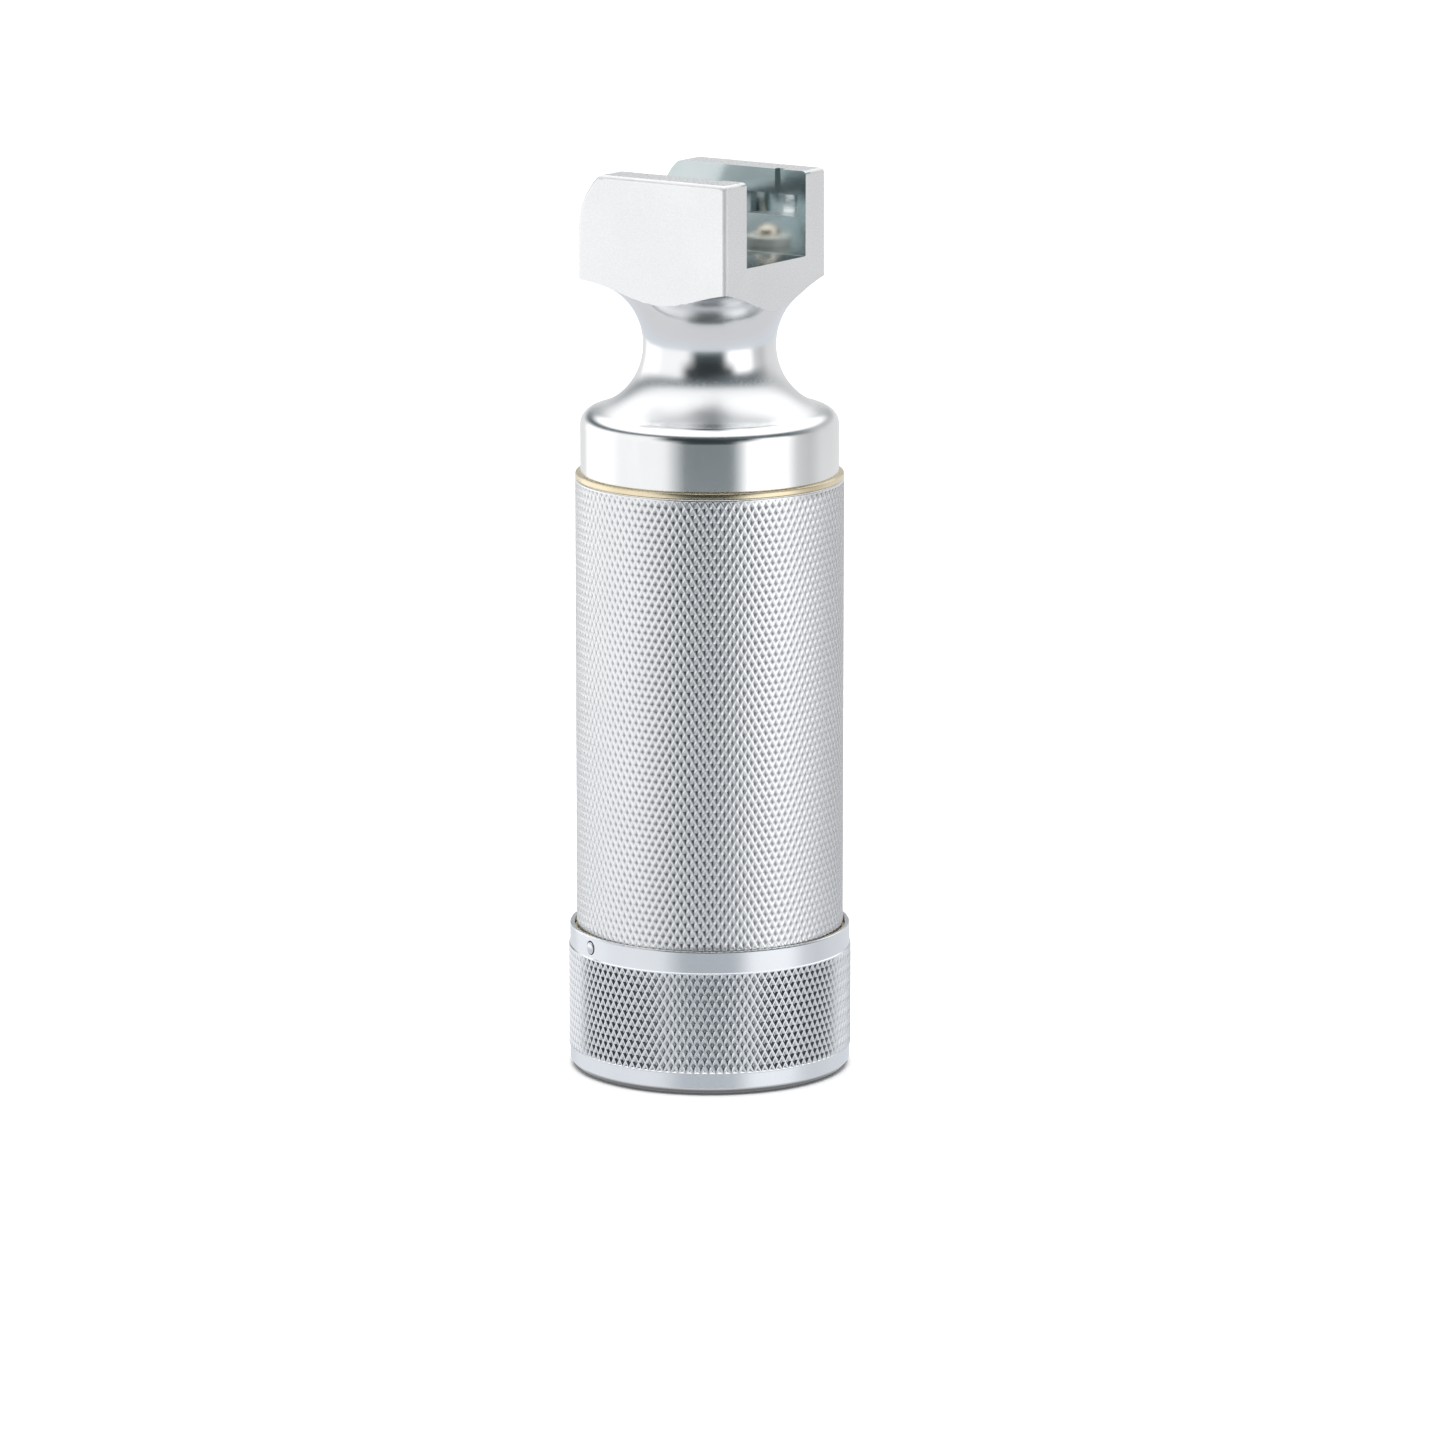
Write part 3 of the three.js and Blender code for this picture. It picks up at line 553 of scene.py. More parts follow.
def make_cap():
    crest = radius_of("cap_shell")
    top = high_of("cap_shell")
    band = crest - 0.15 * MM
    knurl_low, knurl_high = 2.6 * MM, 15.4 * MM
    bore = 17.05 * MM
    floor = 1.8 * MM
    piece = knurled_wall(crest, knurl_low, knurl_high, CAP_AROUND, CAP_ROWS)
    pick_rim(knurl_high)
    follow(crest, knurl_high, [
        (band, knurl_high + 0.1 * MM),
        (band, top - 0.16 * MM),
        (band - 0.05 * MM, top - 0.05 * MM),
        (band - 0.16 * MM, top),
        (bore + 0.12 * MM, top),
        (bore + 0.03 * MM, top - 0.05 * MM),
        (bore, top - 0.14 * MM),
        (bore, floor + 0.5 * MM),
        (bore - 0.5 * MM, floor),
        (PIVOT_HOLE, floor),
        (PIVOT_HOLE, PIVOT_SEAT),
    ])
    bpy.ops.mesh.edge_face_add()
    pick_rim(knurl_low)
    follow(crest, knurl_low, [
        (band, knurl_low - 0.1 * MM),
        (band, 0.75 * MM),
        (band - 0.06 * MM, 0.62 * MM),
        (band - 0.6 * MM, 0.06 * MM),
        (band - 0.75 * MM, 0),
        (band - 3 * MM, 0),
    ])
    bpy.ops.mesh.edge_face_add()
    weld_seams()
    piece = name_piece(close_piece(), "screw_cap")
    for node in PIN_NODES:
        middle, bearing = pin_place(node)
        drill = round_tool(PIN_HOLE, -2 * MM, 2 * MM, steps=32)
        drill.rotation_euler = (0, math.pi / 2, bearing)
        drill.location = middle
        cut(piece, settle(drill))
    smooth(piece, CAP_SMOOTH)
    place(piece, "cap", "cap_shell", "knurled_plate", cap_plate, cap_knurl)
    finish_knurl(piece, crest, knurl_low, knurl_high)


def make_cap_pins():
    dome = [(0, 0), (PIN_HEAD, 0), (PIN_HEAD, PIN_LENGTH - 0.12 * MM)]
    dome += arc(PIN_HEAD - PIN_DOME, PIN_LENGTH - PIN_DOME, PIN_DOME, 36, 90, 4)
    dome += [(0, PIN_LENGTH + 0.02 * MM)]
    for node in PIN_NODES:
        middle, bearing = pin_place(node)
        pin = turn_piece(node.replace("cap_pin", "band_pin"), dome, 32)
        outward = Vector((math.cos(bearing), math.sin(bearing), 0))
        pin.rotation_euler = (0, math.pi / 2, bearing)
        pin.location = middle + outward * (PIN_PROUD - PIN_LENGTH)
        settle(pin)
        smooth(pin)
        place(pin, "cap", node, "polished_steel", ground_steel)


# ---- knurled tube -----------------------------------------------------------------

TUBE_ROWS = 32
TUBE_SMOOTH = 70
SEAL_SMOOTH = 60
TUBE_BORE = 15 * MM
THREAD_ROOT = 15.6 * MM
THREAD_DEPTH = 0.55 * MM
THREAD_LEAD = 2 * MM
THREAD_LOW, THREAD_HIGH = 6.5 * MM, 15.5 * MM
THREAD_GAP = 0.15 * MM  # the plain step at each end of the thread
THREAD_POINTS = 10
TUBE_SHOULDER = 17.9 * MM
SEAL_GROOVE = 15.44 * MM
SEAL_GROOVE_HALF = 0.55 * MM


def threaded_band(root, depth, lead, low, high, steps):
    """A right-handed round thread, cut square at both ends and left open there."""
    turns = math.ceil((high - low) / lead) + 2
    start = math.floor(low / lead) * lead - lead
    points = []
    for i in range(THREAD_POINTS + 1):
        height = start + lead * i / THREAD_POINTS
        crest = 0.5 + 0.5 * math.cos(2 * math.pi * height / lead)
        points.append((root + depth * crest, height))
    draw_profile(points)
    band = close_piece()
    apply_modifier(
        band, "SCREW", axis="Z", angle=2 * math.pi, screw_offset=lead, iterations=turns,
        steps=steps, render_steps=steps, use_merge_vertices=True, merge_threshold=SEAM,
    )
    open_piece(band)
    bpy.ops.mesh.select_all(action="SELECT")
    bpy.ops.mesh.remove_doubles(threshold=SEAM)
    bpy.ops.mesh.select_all(action="SELECT")
    bpy.ops.mesh.bisect(plane_co=(0, 0, high), plane_no=(0, 0, 1), clear_outer=True,
                        threshold=CUT_SLACK)
    bpy.ops.mesh.select_all(action="SELECT")
    bpy.ops.mesh.bisect(plane_co=(0, 0, low), plane_no=(0, 0, 1), clear_inner=True,
                        threshold=CUT_SLACK)
    return close_piece()


def bridge(first, second):
    """Bridges the open rims at two heights."""
    pick("EDGE", lambda edge: edge.is_boundary and all(
        min(abs(vert.co.z - first), abs(vert.co.z - second)) < NEAR
        for vert in edge.verts))
    bpy.ops.mesh.bridge_edge_loops()


def make_tube():
    outer = radius_of("knurled_tube")
    end = low_of("knurled_tube")
    top = high_of("knurled_tube")
    bore, root = TUBE_BORE, THREAD_ROOT
    seal = (low_of("tube_o_ring") + high_of("tube_o_ring")) / 2
    knurl_low, knurl_high = TUBE_SHOULDER + 0.15 * MM, top - 0.25 * MM
    thread = threaded_band(root, THREAD_DEPTH, THREAD_LEAD, THREAD_LOW, THREAD_HIGH,
                           TUBE_AROUND)
    piece = knurled_wall(outer, knurl_low, knurl_high, TUBE_AROUND, TUBE_ROWS)
    pick_rim(knurl_high)
    follow(outer, knurl_high, [
        (outer - 0.08 * MM, top - 0.08 * MM),
        (outer - 0.25 * MM, top),
        (bore + 0.2 * MM, top),
        (bore, top - 0.2 * MM),
        (bore, end + 0.2 * MM),
        (bore + 0.15 * MM, end),
        (root - 0.25 * MM, end),
        (root, end + 0.25 * MM),
        (root, THREAD_LOW - THREAD_GAP),
    ])
    pick_rim(knurl_low)
    follow(outer, knurl_low, [
        (outer - 0.15 * MM, TUBE_SHOULDER),
        (root + 0.1 * MM, TUBE_SHOULDER),
        (root, TUBE_SHOULDER - 0.1 * MM),
        (root, seal + SEAL_GROOVE_HALF),
        (SEAL_GROOVE, seal + SEAL_GROOVE_HALF),
        (SEAL_GROOVE, seal - SEAL_GROOVE_HALF),
        (root, seal - SEAL_GROOVE_HALF),
        (root, THREAD_HIGH + THREAD_GAP),
    ])
    close_piece()
    join(piece, thread)
    open_piece(piece)
    bridge(THREAD_LOW - THREAD_GAP, THREAD_LOW)
    bridge(THREAD_HIGH + THREAD_GAP, THREAD_HIGH)
    weld_seams()
    piece = name_piece(close_piece(), "battery_tube")
    smooth(piece, TUBE_SMOOTH)
    place(piece, "handle", "knurled_tube", "knurled_plate", plain_plate, tube_knurl)
    finish_knurl(piece, outer, knurl_low, knurl_high)


def make_seal_and_ring():
    low, high = low_of("tube_o_ring"), high_of("tube_o_ring")
    section = (high - low) / 2
    middle = (low + high) / 2
    centre = radius_of("tube_o_ring") - section
    seal = turn_piece("seal_ring", arc(centre, middle, section, -180, 180, 16), 128)
    smooth(seal, SEAL_SMOOTH)
    place(seal, "handle", "tube_o_ring", "seal_rubber", black_rubber)

    outer = radius_of("brass_ring")
    low, high = low_of("brass_ring"), high_of("brass_ring")
    bore = 14.95 * MM
    edge = 0.08 * MM
    slope = 0.24 * MM
    ring = turn_piece("gold_ring", [
        (bore, low),
        (outer - edge, low),
        (outer, low + edge),
        (outer, high - slope),
        (outer - 0.3 * slope, high - 0.3 * slope),
        (outer - slope, high),
        (bore, high),
        (bore, low),
    ], 144)
    smooth(ring)
    place(ring, "handle", "brass_ring", "brass", ring_brass)


# ---- head -------------------------------------------------------------------------

HEAD_STEPS = 144
NECK_ARC = 8.35 * MM
NECK_ARC_R = 16.65 * MM
NECK_ARC_Z = 91.7 * MM
YOKE_FRONT, YOKE_REAR = -12.3 * MM, 10 * MM
YOKE_HALF = 10.95 * MM
NOSE = 8.5 * MM
NOSE_Z = 106.7 * MM
YOKE_FOOT = 100.2 * MM  # just above where the flats run out in the turned neck
SLOT_HALF = 6.45 * MM
SLOT_FLOOR = 102.7 * MM
SHARP_ANGLE = math.radians(34)
ALONG = 0.9  # how much of its normal a face that looks along an axis has on it
FLAT = 0.985
LEAN = 0.1
EDGE_ROUND = 0.55 * MM
SLOT_EDGE_ROUND = 0.2 * MM
SLOT_CUT = 20 * MM  # how far the slot's cutter runs, clear of both ends
SPIGOT = 14.7 * MM
COLLAR_ROUND = 2 * MM
NOSE_FACETS = 12
POCKET_RADIUS = 7.5 * MM
POCKET_DEPTH = 1.2 * MM
POCKET_X = 4.75 * MM
POCKET_LOW, POCKET_HIGH = 107.5 * MM, 110.2 * MM
GROOVE_FRONT, GROOVE_REAR = 5.4 * MM, 6.6 * MM
GROOVE_DEPTH = 0.6 * MM
GROOVE_LOW = 109 * MM
BUSH_SEAT = 93.5 * MM
ROD_BORE = 2.45 * MM
ROD_BORE_TOP = 94 * MM
SCREW_BORE = 1.35 * MM


def is_sharp(edge):
    return edge.is_manifold and edge.calc_face_angle() > SHARP_ANGLE


def min_height(edge):
    return min(vert.co.z for vert in edge.verts)


def max_height(edge):
    return max(vert.co.z for vert in edge.verts)


def flatten(point, normal):
    """Saws the open piece off at a plane and faces the cut."""
    bpy.ops.mesh.select_all(action="SELECT")
    bpy.ops.mesh.bisect(plane_co=point, plane_no=normal, use_fill=True, clear_outer=True)


def is_edge_round(face):
    """True on the narrow rounds between two of the yoke's flats."""
    if max(abs(part) for part in face.normal) > FLAT:
        return False
    return abs(face.normal.y) > LEAN or (face.normal.x > LEAN and face.normal.z > LEAN)


HEAD_FINISHES = [satin_flats, polished_turning, milled_slot_painted_shade, tumbled_edge]


def head_finish(face, top):
    """The finish of one of the head's faces, by its place and normal."""
    middle, normal = face.center, face.normal
    across = math.hypot(middle.x, middle.y)
    on_turning = middle.z < SLOT_FLOOR - 2 * MM and across > 3 * MM and (
        middle.z < NECK_ARC_Z or abs(normal.z) > 0.05 or across < YOKE_REAR)
    in_slot = middle.z > SLOT_FLOOR - 0.1 * MM and abs(middle.y) < SLOT_HALF + 1.3 * MM
    flat_end = abs(normal.x) > ALONG and across > YOKE_REAR - 0.1 * MM
    if on_turning:
        return polished_turning
    # Faces in the slot and on its floor take the darker colour of the painted slot shade.
    if in_slot and normal.z < ALONG and not flat_end:
        return milled_slot_painted_shade
    if middle.z < top - 5 * MM and abs(middle.y) < SLOT_HALF and normal.z > ALONG:
        return milled_slot_painted_shade
    if middle.z > YOKE_FOOT and is_edge_round(face):
        return tumbled_edge
    return satin_flats


def make_yoke_blank(top):
    """The top of the head, turned down to the neck's waist and then milled flat."""
    blank = arc(NECK_ARC_R, NECK_ARC_Z, NECK_ARC, 180, 90, 24)
    blank += [(NECK_ARC_R, top), (0, top)]
    yoke = turn_piece("yoke", blank, HEAD_STEPS)
    open_piece(yoke)
    flatten((YOKE_REAR, 0, 0), (1, 0, 0))
    flatten((YOKE_FRONT, 0, 0), (-1, 0, 0))
    flatten((0, YOKE_HALF, 0), (0, 1, 0))
    flatten((0, -YOKE_HALF, 0), (0, -1, 0))
    rise = math.degrees(math.asin((top - NOSE_Z) / NOSE))
    for i in range(NOSE_FACETS):
        angle = math.radians(180 - rise * (i + 0.5) / NOSE_FACETS)
        normal = Vector((math.cos(angle), 0, math.sin(angle)))
        centre = Vector((YOKE_FRONT + NOSE, 0, NOSE_Z))
        flatten(centre + normal * NOSE, normal)
    return close_piece()


def make_waist():
    """The waist, collar and spigot, turned with the same steps as the yoke's blank."""
    collar = radius_of("head")
    collar_low = high_of("brass_ring")
    spigot_low = low_of("head")
    shoulder_r = collar - COLLAR_ROUND
    apart_r = NECK_ARC_R - shoulder_r
    shoulder_z = NECK_ARC_Z - math.sqrt((NECK_ARC + COLLAR_ROUND) ** 2 - apart_r ** 2)
    tangent = math.degrees(math.atan2(NECK_ARC_Z - shoulder_z, apart_r))
    lower = [(0, spigot_low), (SPIGOT - 0.4 * MM, spigot_low), (SPIGOT, spigot_low + 0.4 * MM)]
    lower += [(SPIGOT, collar_low), (collar - 0.12 * MM, collar_low),
              (collar, collar_low + 0.12 * MM)]
    lower += arc(shoulder_r, shoulder_z, COLLAR_ROUND, 0, tangent, 12)
    lower += arc(NECK_ARC_R, NECK_ARC_Z, NECK_ARC, 180 + tangent, 180, 26)[1:]
    return turn_piece("turning", lower, HEAD_STEPS)


def mill_slot(head, top):
    """Mills the slot for the blade's foot, its side pockets and its locking grooves."""
    cut(head, block_tool((-SLOT_CUT, -SLOT_HALF, SLOT_FLOOR), (SLOT_CUT, SLOT_HALF, top + MM)))
    open_piece(head)
    weld_seams()
    pick("EDGE", lambda edge: is_sharp(edge) and min_height(edge) > SLOT_FLOOR - 0.1 * MM
         and all(abs(vert.co.y) < SLOT_HALF + 0.05 * MM for vert in edge.verts))
    bpy.ops.mesh.bevel(offset=SLOT_EDGE_ROUND, segments=3, profile=0.5, clamp_overlap=True)
    weld_seams()
    close_piece()
    for side in (-1, 1):
        cutter_y = side * (SLOT_HALF + POCKET_DEPTH - POCKET_RADIUS)
        cut(head, round_tool(POCKET_RADIUS, POCKET_LOW, POCKET_HIGH, POCKET_X, cutter_y, 128))
    reach = SLOT_HALF + GROOVE_DEPTH
    cut(head, block_tool((GROOVE_FRONT, -reach, GROOVE_LOW), (GROOVE_REAR, reach, top + MM)))


def drill_head(head, top):
    """Bores the holes for the blade's pin, the bush, the terminal rod and the screws."""
    low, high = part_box("hinge_pin")
    pin_x, pin_z = (low.x + high.x) / 2, (low.z + high.z) / 2
    pin_hole = (high.z - low.z) / 2 + 0.02 * MM
    cut(head, cross_tool(pin_hole, low.y - 0.1 * MM, YOKE_HALF + MM, pin_x, pin_z))
    insulator = radius_of("contact_insulator")
    cut(head, round_tool(insulator + 0.03 * MM, BUSH_SEAT, top, steps=72))
    below = low_of("head") - MM
    cut(head, round_tool(ROD_BORE, below, ROD_BORE_TOP))
    for node in ("board_screw_left", "board_screw_right"):
        screw_low, screw_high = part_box(node)
        screw_y = (screw_low.y + screw_high.y) / 2
        cut(head, round_tool(SCREW_BORE, below, screw_high.z + MM, 0, screw_y, 32))


def make_head():
    top = high_of("head")
    yoke = make_yoke_blank(top)
    join(yoke, make_waist())
    open_piece(yoke)
    bpy.ops.mesh.select_all(action="SELECT")
    bpy.ops.mesh.remove_doubles(threshold=NEAR)
    bpy.ops.mesh.normals_make_consistent(inside=False)
    pick("EDGE", lambda edge: is_sharp(edge) and max_height(edge) > YOKE_FOOT)
    bpy.ops.mesh.bevel(offset=EDGE_ROUND, segments=5, profile=0.5, clamp_overlap=False)
    weld_seams()
    head = name_piece(close_piece(), "yoke_and_neck")
    mill_slot(head, top)
    drill_head(head, top)

    # Closes the slivers that the cuts leave open.
    open_piece(head)
    bpy.ops.mesh.select_all(action="SELECT")
    bpy.ops.mesh.fill_holes(sides=3)
    weld_seams()
    close_piece()

    smooth(head)
    apply_modifier(head, "WEIGHTED_NORMAL", keep_sharp=True, mode="FACE_AREA")
    place(head, "handle", "head", "satin_plate", *HEAD_FINISHES)
    for face in head.data.polygons:
        face.material_index = HEAD_FINISHES.index(head_finish(face, top))


def make_hinge_pin():
    low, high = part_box("hinge_pin")
    radius = (high.z - low.z) / 2
    length = high.y - low.y
    edge = 0.15 * MM
    pin = turn_piece("blade_pin", [
        (0, 0), (radius - edge, 0), (radius, edge), (radius, length - edge),
        (radius - 0.04 * MM, length - 0.04 * MM), (radius - edge, length), (0, length),
    ], 64)
    pin.rotation_euler = (-math.pi / 2, 0, 0)
    pin.location = ((low.x + high.x) / 2, low.y, (low.z + high.z) / 2)
    settle(pin)
    smooth(pin)
    place(pin, "handle", "hinge_pin", "polished_steel", ground_steel)


def make_contact():
    outer = radius_of("contact_insulator")
    low, high = low_of("contact_insulator"), high_of("contact_insulator")
    mouth = 1.62 * MM
    cavity = 2.35 * MM
    lip = 102.9 * MM
    edge = 0.35 * MM
    bush = [(cavity, low), (outer, low), (outer, high - edge)]
    bush += arc(outer - edge, high - edge, edge, 15, 90, 5)
    bush += [(mouth + 0.2 * MM, high), (mouth, high - 0.2 * MM), (mouth, lip), (cavity, lip),
             (cavity, low)]
    insulator = turn_piece("contact_bush", bush, 72)
    smooth(insulator)
    place(insulator, "handle", "contact_insulator", "cream_plastic", cream_insulator)

    top = high_of("contact_plunger")
    tip = 1.5 * MM
    dome_radius = 1.9 * MM
    dome_angle = math.degrees(math.asin((tip - 0.15 * MM) / dome_radius))
    stem, stem_low = 0.95 * MM, 99.5 * MM
    flange, flange_low, flange_high = 2.1 * MM, 101.2 * MM, 102.6 * MM
    chamfer = 0.1 * MM
    plunger = [(0, low_of("contact_plunger")), (0.8 * MM, stem_low)]
    plunger += [(stem, 99.65 * MM), (stem, flange_low), (flange - chamfer, flange_low)]
    plunger += [(flange, flange_low + chamfer), (flange, flange_high - chamfer)]
    plunger += [(flange - chamfer, flange_high), (tip, flange_high), (tip, top - 0.66 * MM)]
    plunger += arc(0, top - dome_radius, dome_radius, 90 - dome_angle, 90, 7)
    contact = turn_piece("centre_contact", plunger, 64)
    smooth(contact)
    place(contact, "plunger", "contact_plunger", "brass", pale_brass)


# ---- springs ---------------------------------------------------------------------


WIRE_FACETS = 14
STEPS_A_TURN = 40
SPRING_SMOOTH = 40
CONTACT_WIRE, CONTACT_TURNS = 0.25 * MM, 4
DISC_WIRE, DISC_TURNS = 0.3 * MM, 2


def make_spring(name, node, body, wire, turns):
    """Winds a round wire spring on its node's place."""
    low, high = low_of(node), high_of(node)
    bpy.ops.object.select_all(action="DESELECT")
    bpy.ops.mesh.primitive_circle_add(
        vertices=WIRE_FACETS, radius=wire, fill_type="NOTHING",
        location=(radius_of(node) - wire, 0, low + wire), rotation=(math.pi / 2, 0, 0),
    )
    spring = name_piece(settle(bpy.context.active_object), name)
    lead = (high - low - 2 * wire) / turns
    apply_modifier(
        spring, "SCREW", axis="Z", angle=2 * math.pi, screw_offset=lead, iterations=turns,
        steps=STEPS_A_TURN, render_steps=STEPS_A_TURN, use_merge_vertices=False,
    )
    open_piece(spring)
    bpy.ops.mesh.select_all(action="SELECT")
    bpy.ops.mesh.remove_doubles(threshold=SEAM)
    bpy.ops.mesh.select_all(action="SELECT")
    bpy.ops.mesh.fill_holes(sides=0)
    weld_seams()
    close_piece()
    smooth(spring, SPRING_SMOOTH)
    place(spring, body, node, "spring_steel", drawn_steel)
    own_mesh(spring)


# ---- pieces kept as the frame has them, in their own finishes ------------------------

KEPT = {
    "cap_thread_ring": turned_brass,
    "pivot_screw": drawn_steel,
    "contact_cup": black_moulding,
    "disc_retainer": black_moulding,
    "contact_disc": nickel_sheet,
    "cell_positive_up": cell_wrap("cell_positive_up"),
    "cell_positive_down": cell_wrap("cell_positive_down"),
    "terminal_rod": turned_brass,
    "rod_sleeve": pale_sleeve,
    "top_contact_board": black_moulding,
    "positive_contact": nickel_sheet,
    "ground_contact": nickel_sheet,
    "board_screw_left": drawn_steel,
    "board_screw_right": drawn_steel,
    "cell_cradle": black_moulding,
}


def dress_kept_nodes():
    for name, material in KEPT.items():
        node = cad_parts[name]
        node.data.materials.clear()
        node.data.materials.append(material)


# ---- floor, light and camera ---------------------------------------------------------

FLOOR_SIZE = 8
FLOOR_GAP = 0.0002
LAMP_SIZE = 1.6
LAMP_POWER = 22
LAMP_HEIGHT = 1.5
VIEW_AZIMUTH = math.radians(34.6)
CAMERA_LENS = 185.5
CAMERA_DISTANCE = 0.915
CAMERA_HEIGHT = 0.2357
AIM_SIDE = 1.6 * MM
AIM_HEIGHT = 43.6 * MM


def make_floor():
    bpy.ops.object.select_all(action="DESELECT")
    bpy.ops.mesh.primitive_plane_add(size=FLOOR_SIZE, location=(0, 0, -FLOOR_GAP))
    floor = name_piece(bpy.context.active_object, "floor")
    finish = Finish("pale_floor").set(Roughness=0.9)
    grain = finish.noise(4 * MM)
    finish.paint("Base Color", finish.blend(grain, (0.93, 0.93, 0.93), (0.95, 0.95, 0.95)))
    floor.data.materials.append(finish.material)
    floor.visible_glossy = False


def make_floor_light():
    """A large soft panel overhead that whitens the floor and isn't mirrored in the metal."""
    data = bpy.data.lights.new("overhead_panel", "AREA")
    data.shape = "DISK"
    data.size = LAMP_SIZE
    data.energy = LAMP_POWER
    lamp = bpy.data.objects.new("overhead_panel", data)
    lamp.location = (0, 0, LAMP_HEIGHT)
    lamp.visible_glossy = False
    bpy.context.scene.collection.objects.link(lamp)


def make_camera():
    data = bpy.data.cameras.new("studio_camera")
    camera = bpy.data.objects.new("studio_camera", data)
    bpy.context.scene.collection.objects.link(camera)
    bpy.context.scene.camera = camera
    data.sensor_width = 36
    data.lens = CAMERA_LENS
    side = Vector((math.cos(VIEW_AZIMUTH), math.sin(VIEW_AZIMUTH), 0))
    aim = side * AIM_SIDE + Vector((0, 0, AIM_HEIGHT))
    away = Vector((math.sin(VIEW_AZIMUTH), -math.cos(VIEW_AZIMUTH), 0))
    camera.location = aim + away * CAMERA_DISTANCE
    camera.location.z = CAMERA_HEIGHT
    camera.rotation_euler = (aim - camera.location).to_track_quat("-Z", "Y").to_euler()


def ramp(nodes, stops):
    """A colour ramp with (position, grey) or (position, colour) stops in rising order."""
    node = nodes.new("ShaderNodeValToRGB")
    elements = node.color_ramp.elements
    elements[0].position = stops[0][0]
    elements[1].position = stops[-1][0]
    for position, _ in stops[1:-1]:
        elements.new(position)
    for element, (position, value) in zip(elements, stops):
        grey = value if isinstance(value, tuple) else (value, value, value)
        element.color = (*grey, 1)
    return node


def make_studio():
    """White to the camera, and to the metal a room of pale walls and soft panels."""
    world = bpy.data.worlds.new("studio")
    bpy.context.scene.world = world
    world.use_nodes = True
    nodes, links = world.node_tree.nodes, world.node_tree.links
    nodes.clear()

    def math_node(operation, *values):
        node = nodes.new("ShaderNodeMath")
        node.operation = operation
        for socket, value in zip(node.inputs, values):
            if isinstance(value, float):
                socket.default_value = value
            else:
                links.new(value, socket)
        return node.outputs["Value"]

    def mix(factor, first, second):
        node = nodes.new("ShaderNodeMix")
        node.data_type = "RGBA"
        links.new(factor, node.inputs["Factor"])
        for name, value in (("A", first), ("B", second)):
            if isinstance(value, tuple):
                node.inputs[name].default_value = (*value, 1)
            else:
                links.new(value, node.inputs[name])
        return node.outputs["Result"]

    direction = nodes.new("ShaderNodeTexCoord").outputs["Generated"]
    turn = nodes.new("ShaderNodeVectorRotate")
    turn.rotation_type = "Z_AXIS"
    turn.inputs["Angle"].default_value = -VIEW_AZIMUTH
    links.new(direction, turn.inputs["Vector"])
    parts = nodes.new("ShaderNodeSeparateXYZ")
    links.new(turn.outputs["Vector"], parts.inputs["Vector"])
    x, y, z = parts.outputs["X"], parts.outputs["Y"], parts.outputs["Z"]

    # 0 to 1 round the room: 0.5 is the camera's side and above it is its right.
    away = math_node("MULTIPLY", y, -1.0)
    bearing = math_node("ARCTAN2", x, away)
    around = math_node("MULTIPLY_ADD", bearing, 1 / (2 * math.pi), 0.5)
    # 0 to 1 from straight down to straight up, with 0.5 the horizon.
    climb = math_node("ARCSINE", z)
    height = math_node("MULTIPLY_ADD", climb, 1 / math.pi, 0.5)

    # How far a direction leans towards the overhead panel, which hangs a little to the rear.
    lean = math_node("MULTIPLY", y, math.sin(PANEL_TILT))
    lean = math_node("MULTIPLY_ADD", z, math.cos(PANEL_TILT), lean)

    def by(value, stops):
        node = ramp(nodes, stops)
        links.new(value, node.inputs["Fac"])
        return node.outputs["Color"]

    front = mix(by(height, HIGH_SHARE_STOPS), by(around, FRONT_STOPS),
                by(around, HIGH_FRONT_STOPS))
    gap = mix(by(around, RIGHT_SHARE_STOPS), by(lean, LEFT_GAP_STOPS), by(lean, RIGHT_GAP_STOPS))
    gap = mix(gap, BLACK, by(around, GAP_STRENGTH_STOPS))
    room = mix(front, by(around, WALL_STOPS), by(height, FRONT_TONE_STOPS))
    room = mix(gap, room, GAP_TONE)
    room = mix(by(lean, PANEL_STOPS), room, PANEL_TONE)
    room = mix(by(height, GROUND_SHARE_STOPS), room, by(height, GROUND_STOPS))

    seen = nodes.new("ShaderNodeBackground")
    seen.inputs["Color"].default_value = (1, 1, 1, 1)
    seen.inputs["Strength"].default_value = 1.0
    lit = nodes.new("ShaderNodeBackground")
    links.new(room, lit.inputs["Color"])
    lit.inputs["Strength"].default_value = ROOM_STRENGTH
    path = nodes.new("ShaderNodeLightPath")
    both = nodes.new("ShaderNodeMixShader")
    links.new(path.outputs["Is Camera Ray"], both.inputs["Fac"])
    links.new(lit.outputs["Background"], both.inputs[1])
    links.new(seen.outputs["Background"], both.inputs[2])
    output = nodes.new("ShaderNodeOutputWorld")
    links.new(both.outputs["Shader"], output.inputs["Surface"])


def bearing_stop(degrees):
    return 0.5 + degrees / 360


def height_stop(degrees):
    return 0.5 + degrees / 180


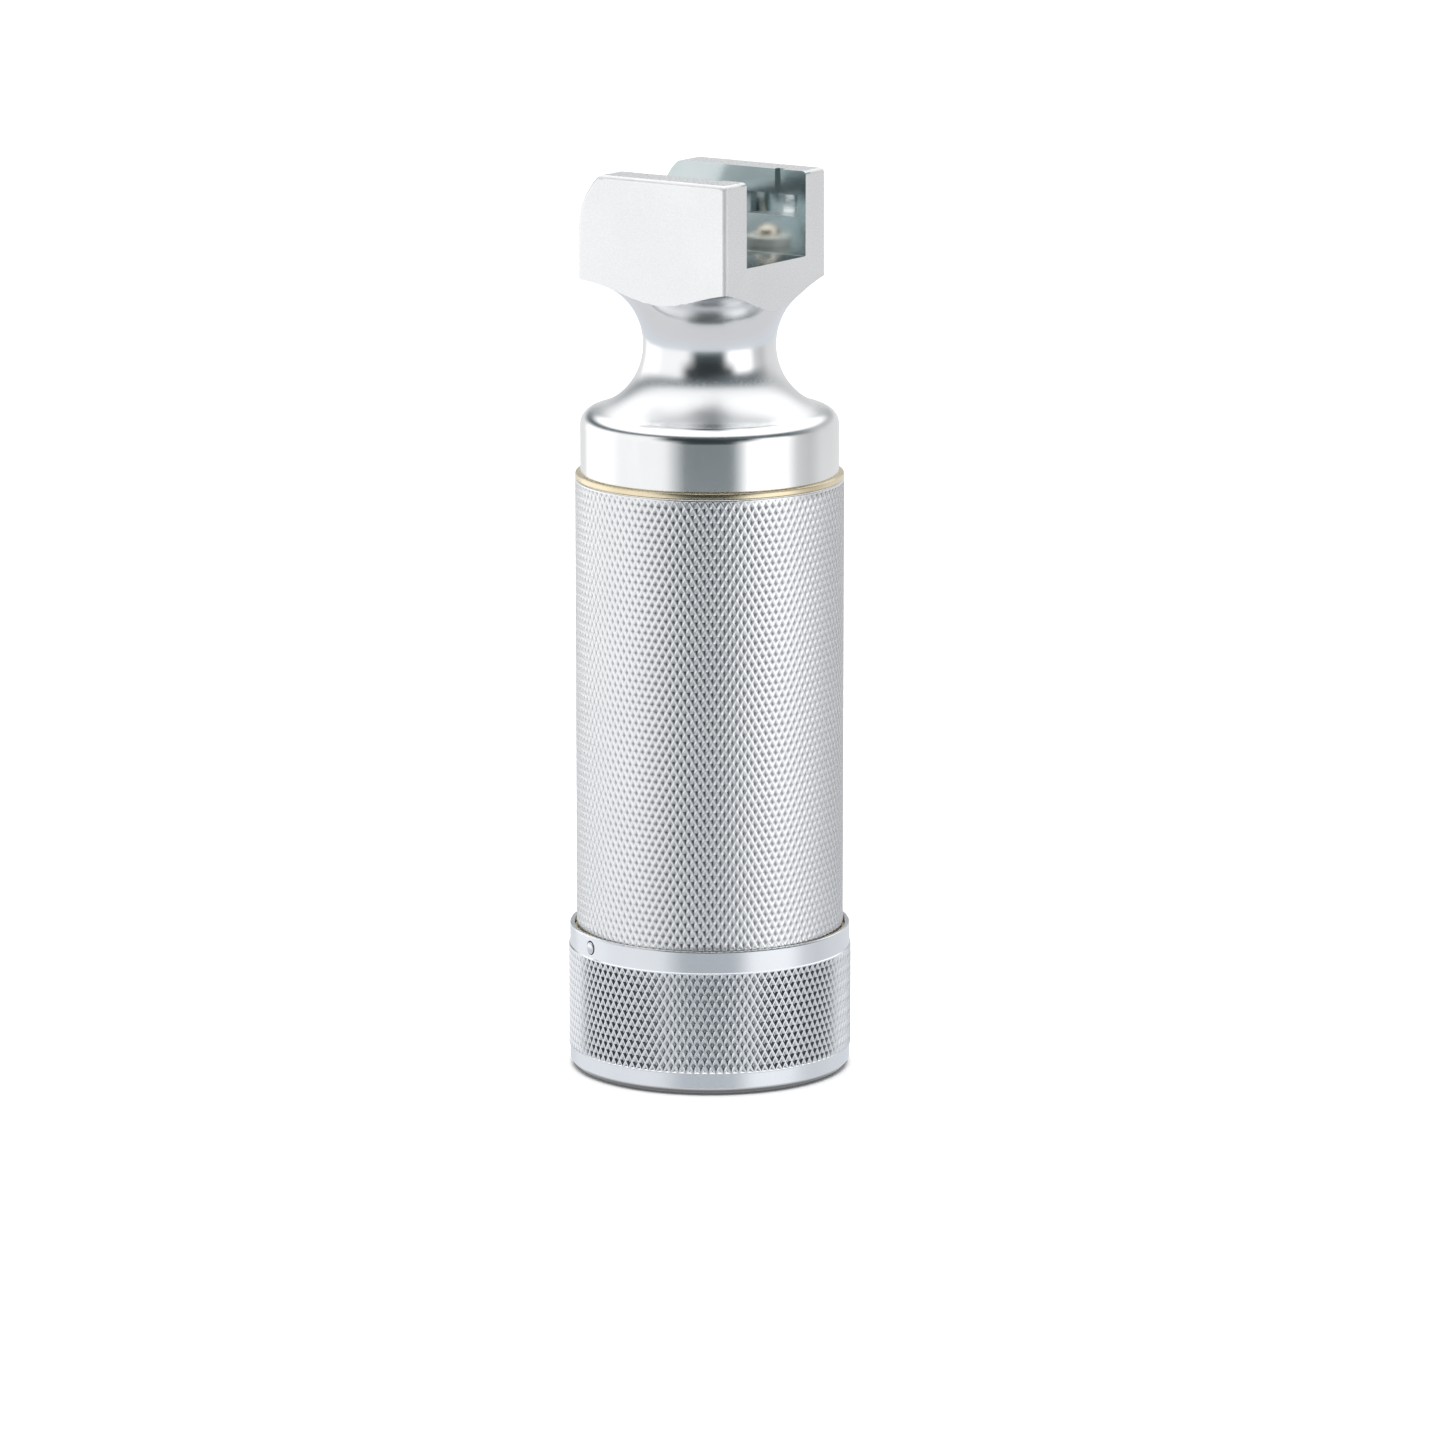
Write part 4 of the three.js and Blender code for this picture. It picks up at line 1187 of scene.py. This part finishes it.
# The walls by bearing from the camera's side, positive to its right: a soft panel at
# each side, with a dark opening between them where the camera stands.
BLACK = (0, 0, 0)
WALL_STOPS = [
    (bearing_stop(-180), 0.74), (bearing_stop(-146), 0.76), (bearing_stop(-138), 1.15),
    (bearing_stop(-98), 1.15), (bearing_stop(-88), 0.98), (bearing_stop(24), 0.98),
    (bearing_stop(36), 1.3), (bearing_stop(70), 1.3), (bearing_stop(84), 0.62),
    (bearing_stop(100), 0.52), (bearing_stop(118), 0.70), (bearing_stop(180), 0.74),
]
FRONT_STOPS = [
    (bearing_stop(-40), 0.0), (bearing_stop(-22), 1.0), (bearing_stop(20), 1.0),
    (bearing_stop(34), 0.0),
]
HIGH_FRONT_STOPS = [
    (bearing_stop(-54), 0.0), (bearing_stop(-38), 1.0), (bearing_stop(36), 1.0),
    (bearing_stop(50), 0.0),
]
HIGH_SHARE_STOPS = [(height_stop(0), 0.0), (height_stop(20), 1.0)]
FRONT_TONE_STOPS = [
    (height_stop(-13.2), (0.66, 0.67, 0.70)), (height_stop(-12.2), (0.145, 0.18, 0.185)),
    (height_stop(-9.2), (0.145, 0.18, 0.185)), (height_stop(-5), (0.06, 0.075, 0.078)),
    (height_stop(10), (0.03, 0.037, 0.04)), (height_stop(60), (0.03, 0.037, 0.04)),
]

# Above the walls the room is dim up to the overhead panel.
PANEL_TILT = math.radians(13.8)
PANEL_STOPS = [(0.53, 0.0), (0.64, 1.0)]
PANEL_TONE = (1.2, 1.2, 1.2)
LEFT_GAP_STOPS = [(0.30, 0.0), (0.45, 1.0)]
RIGHT_GAP_STOPS = [(0.14, 0.0), (0.31, 1.0)]
RIGHT_SHARE_STOPS = [
    (bearing_stop(-10), 0.0), (bearing_stop(40), 1.0), (bearing_stop(95), 1.0),
    (bearing_stop(140), 0.0),
]
GAP_STRENGTH_STOPS = [
    (bearing_stop(-180), 0.75), (bearing_stop(-145), 1.0), (bearing_stop(80), 1.0),
    (bearing_stop(110), 0.35), (bearing_stop(150), 0.35), (bearing_stop(180), 0.75),
]
GAP_TONE = (0.10, 0.125, 0.14)

# The pale bench below.
GROUND_SHARE_STOPS = [(height_stop(-13.7), 1.0), (height_stop(-12.7), 0.0)]
GROUND_STOPS = [
    (height_stop(-34), (0.64, 0.64, 0.655)), (height_stop(-18), (0.66, 0.69, 0.74)),
]
ROOM_STRENGTH = 1.1


make_cap()
make_cap_pins()
make_tube()
make_seal_and_ring()
make_head()
make_hinge_pin()
make_contact()
make_spring("contact_coil", "plunger_spring", "handle",
            CONTACT_WIRE, CONTACT_TURNS)
make_spring("disc_coil", "disc_spring", "contact_carrier",
            DISC_WIRE, DISC_TURNS)
dress_kept_nodes()
make_floor()
make_floor_light()
make_camera()
make_studio()
bpy.context.scene.view_settings.view_transform = "Standard"
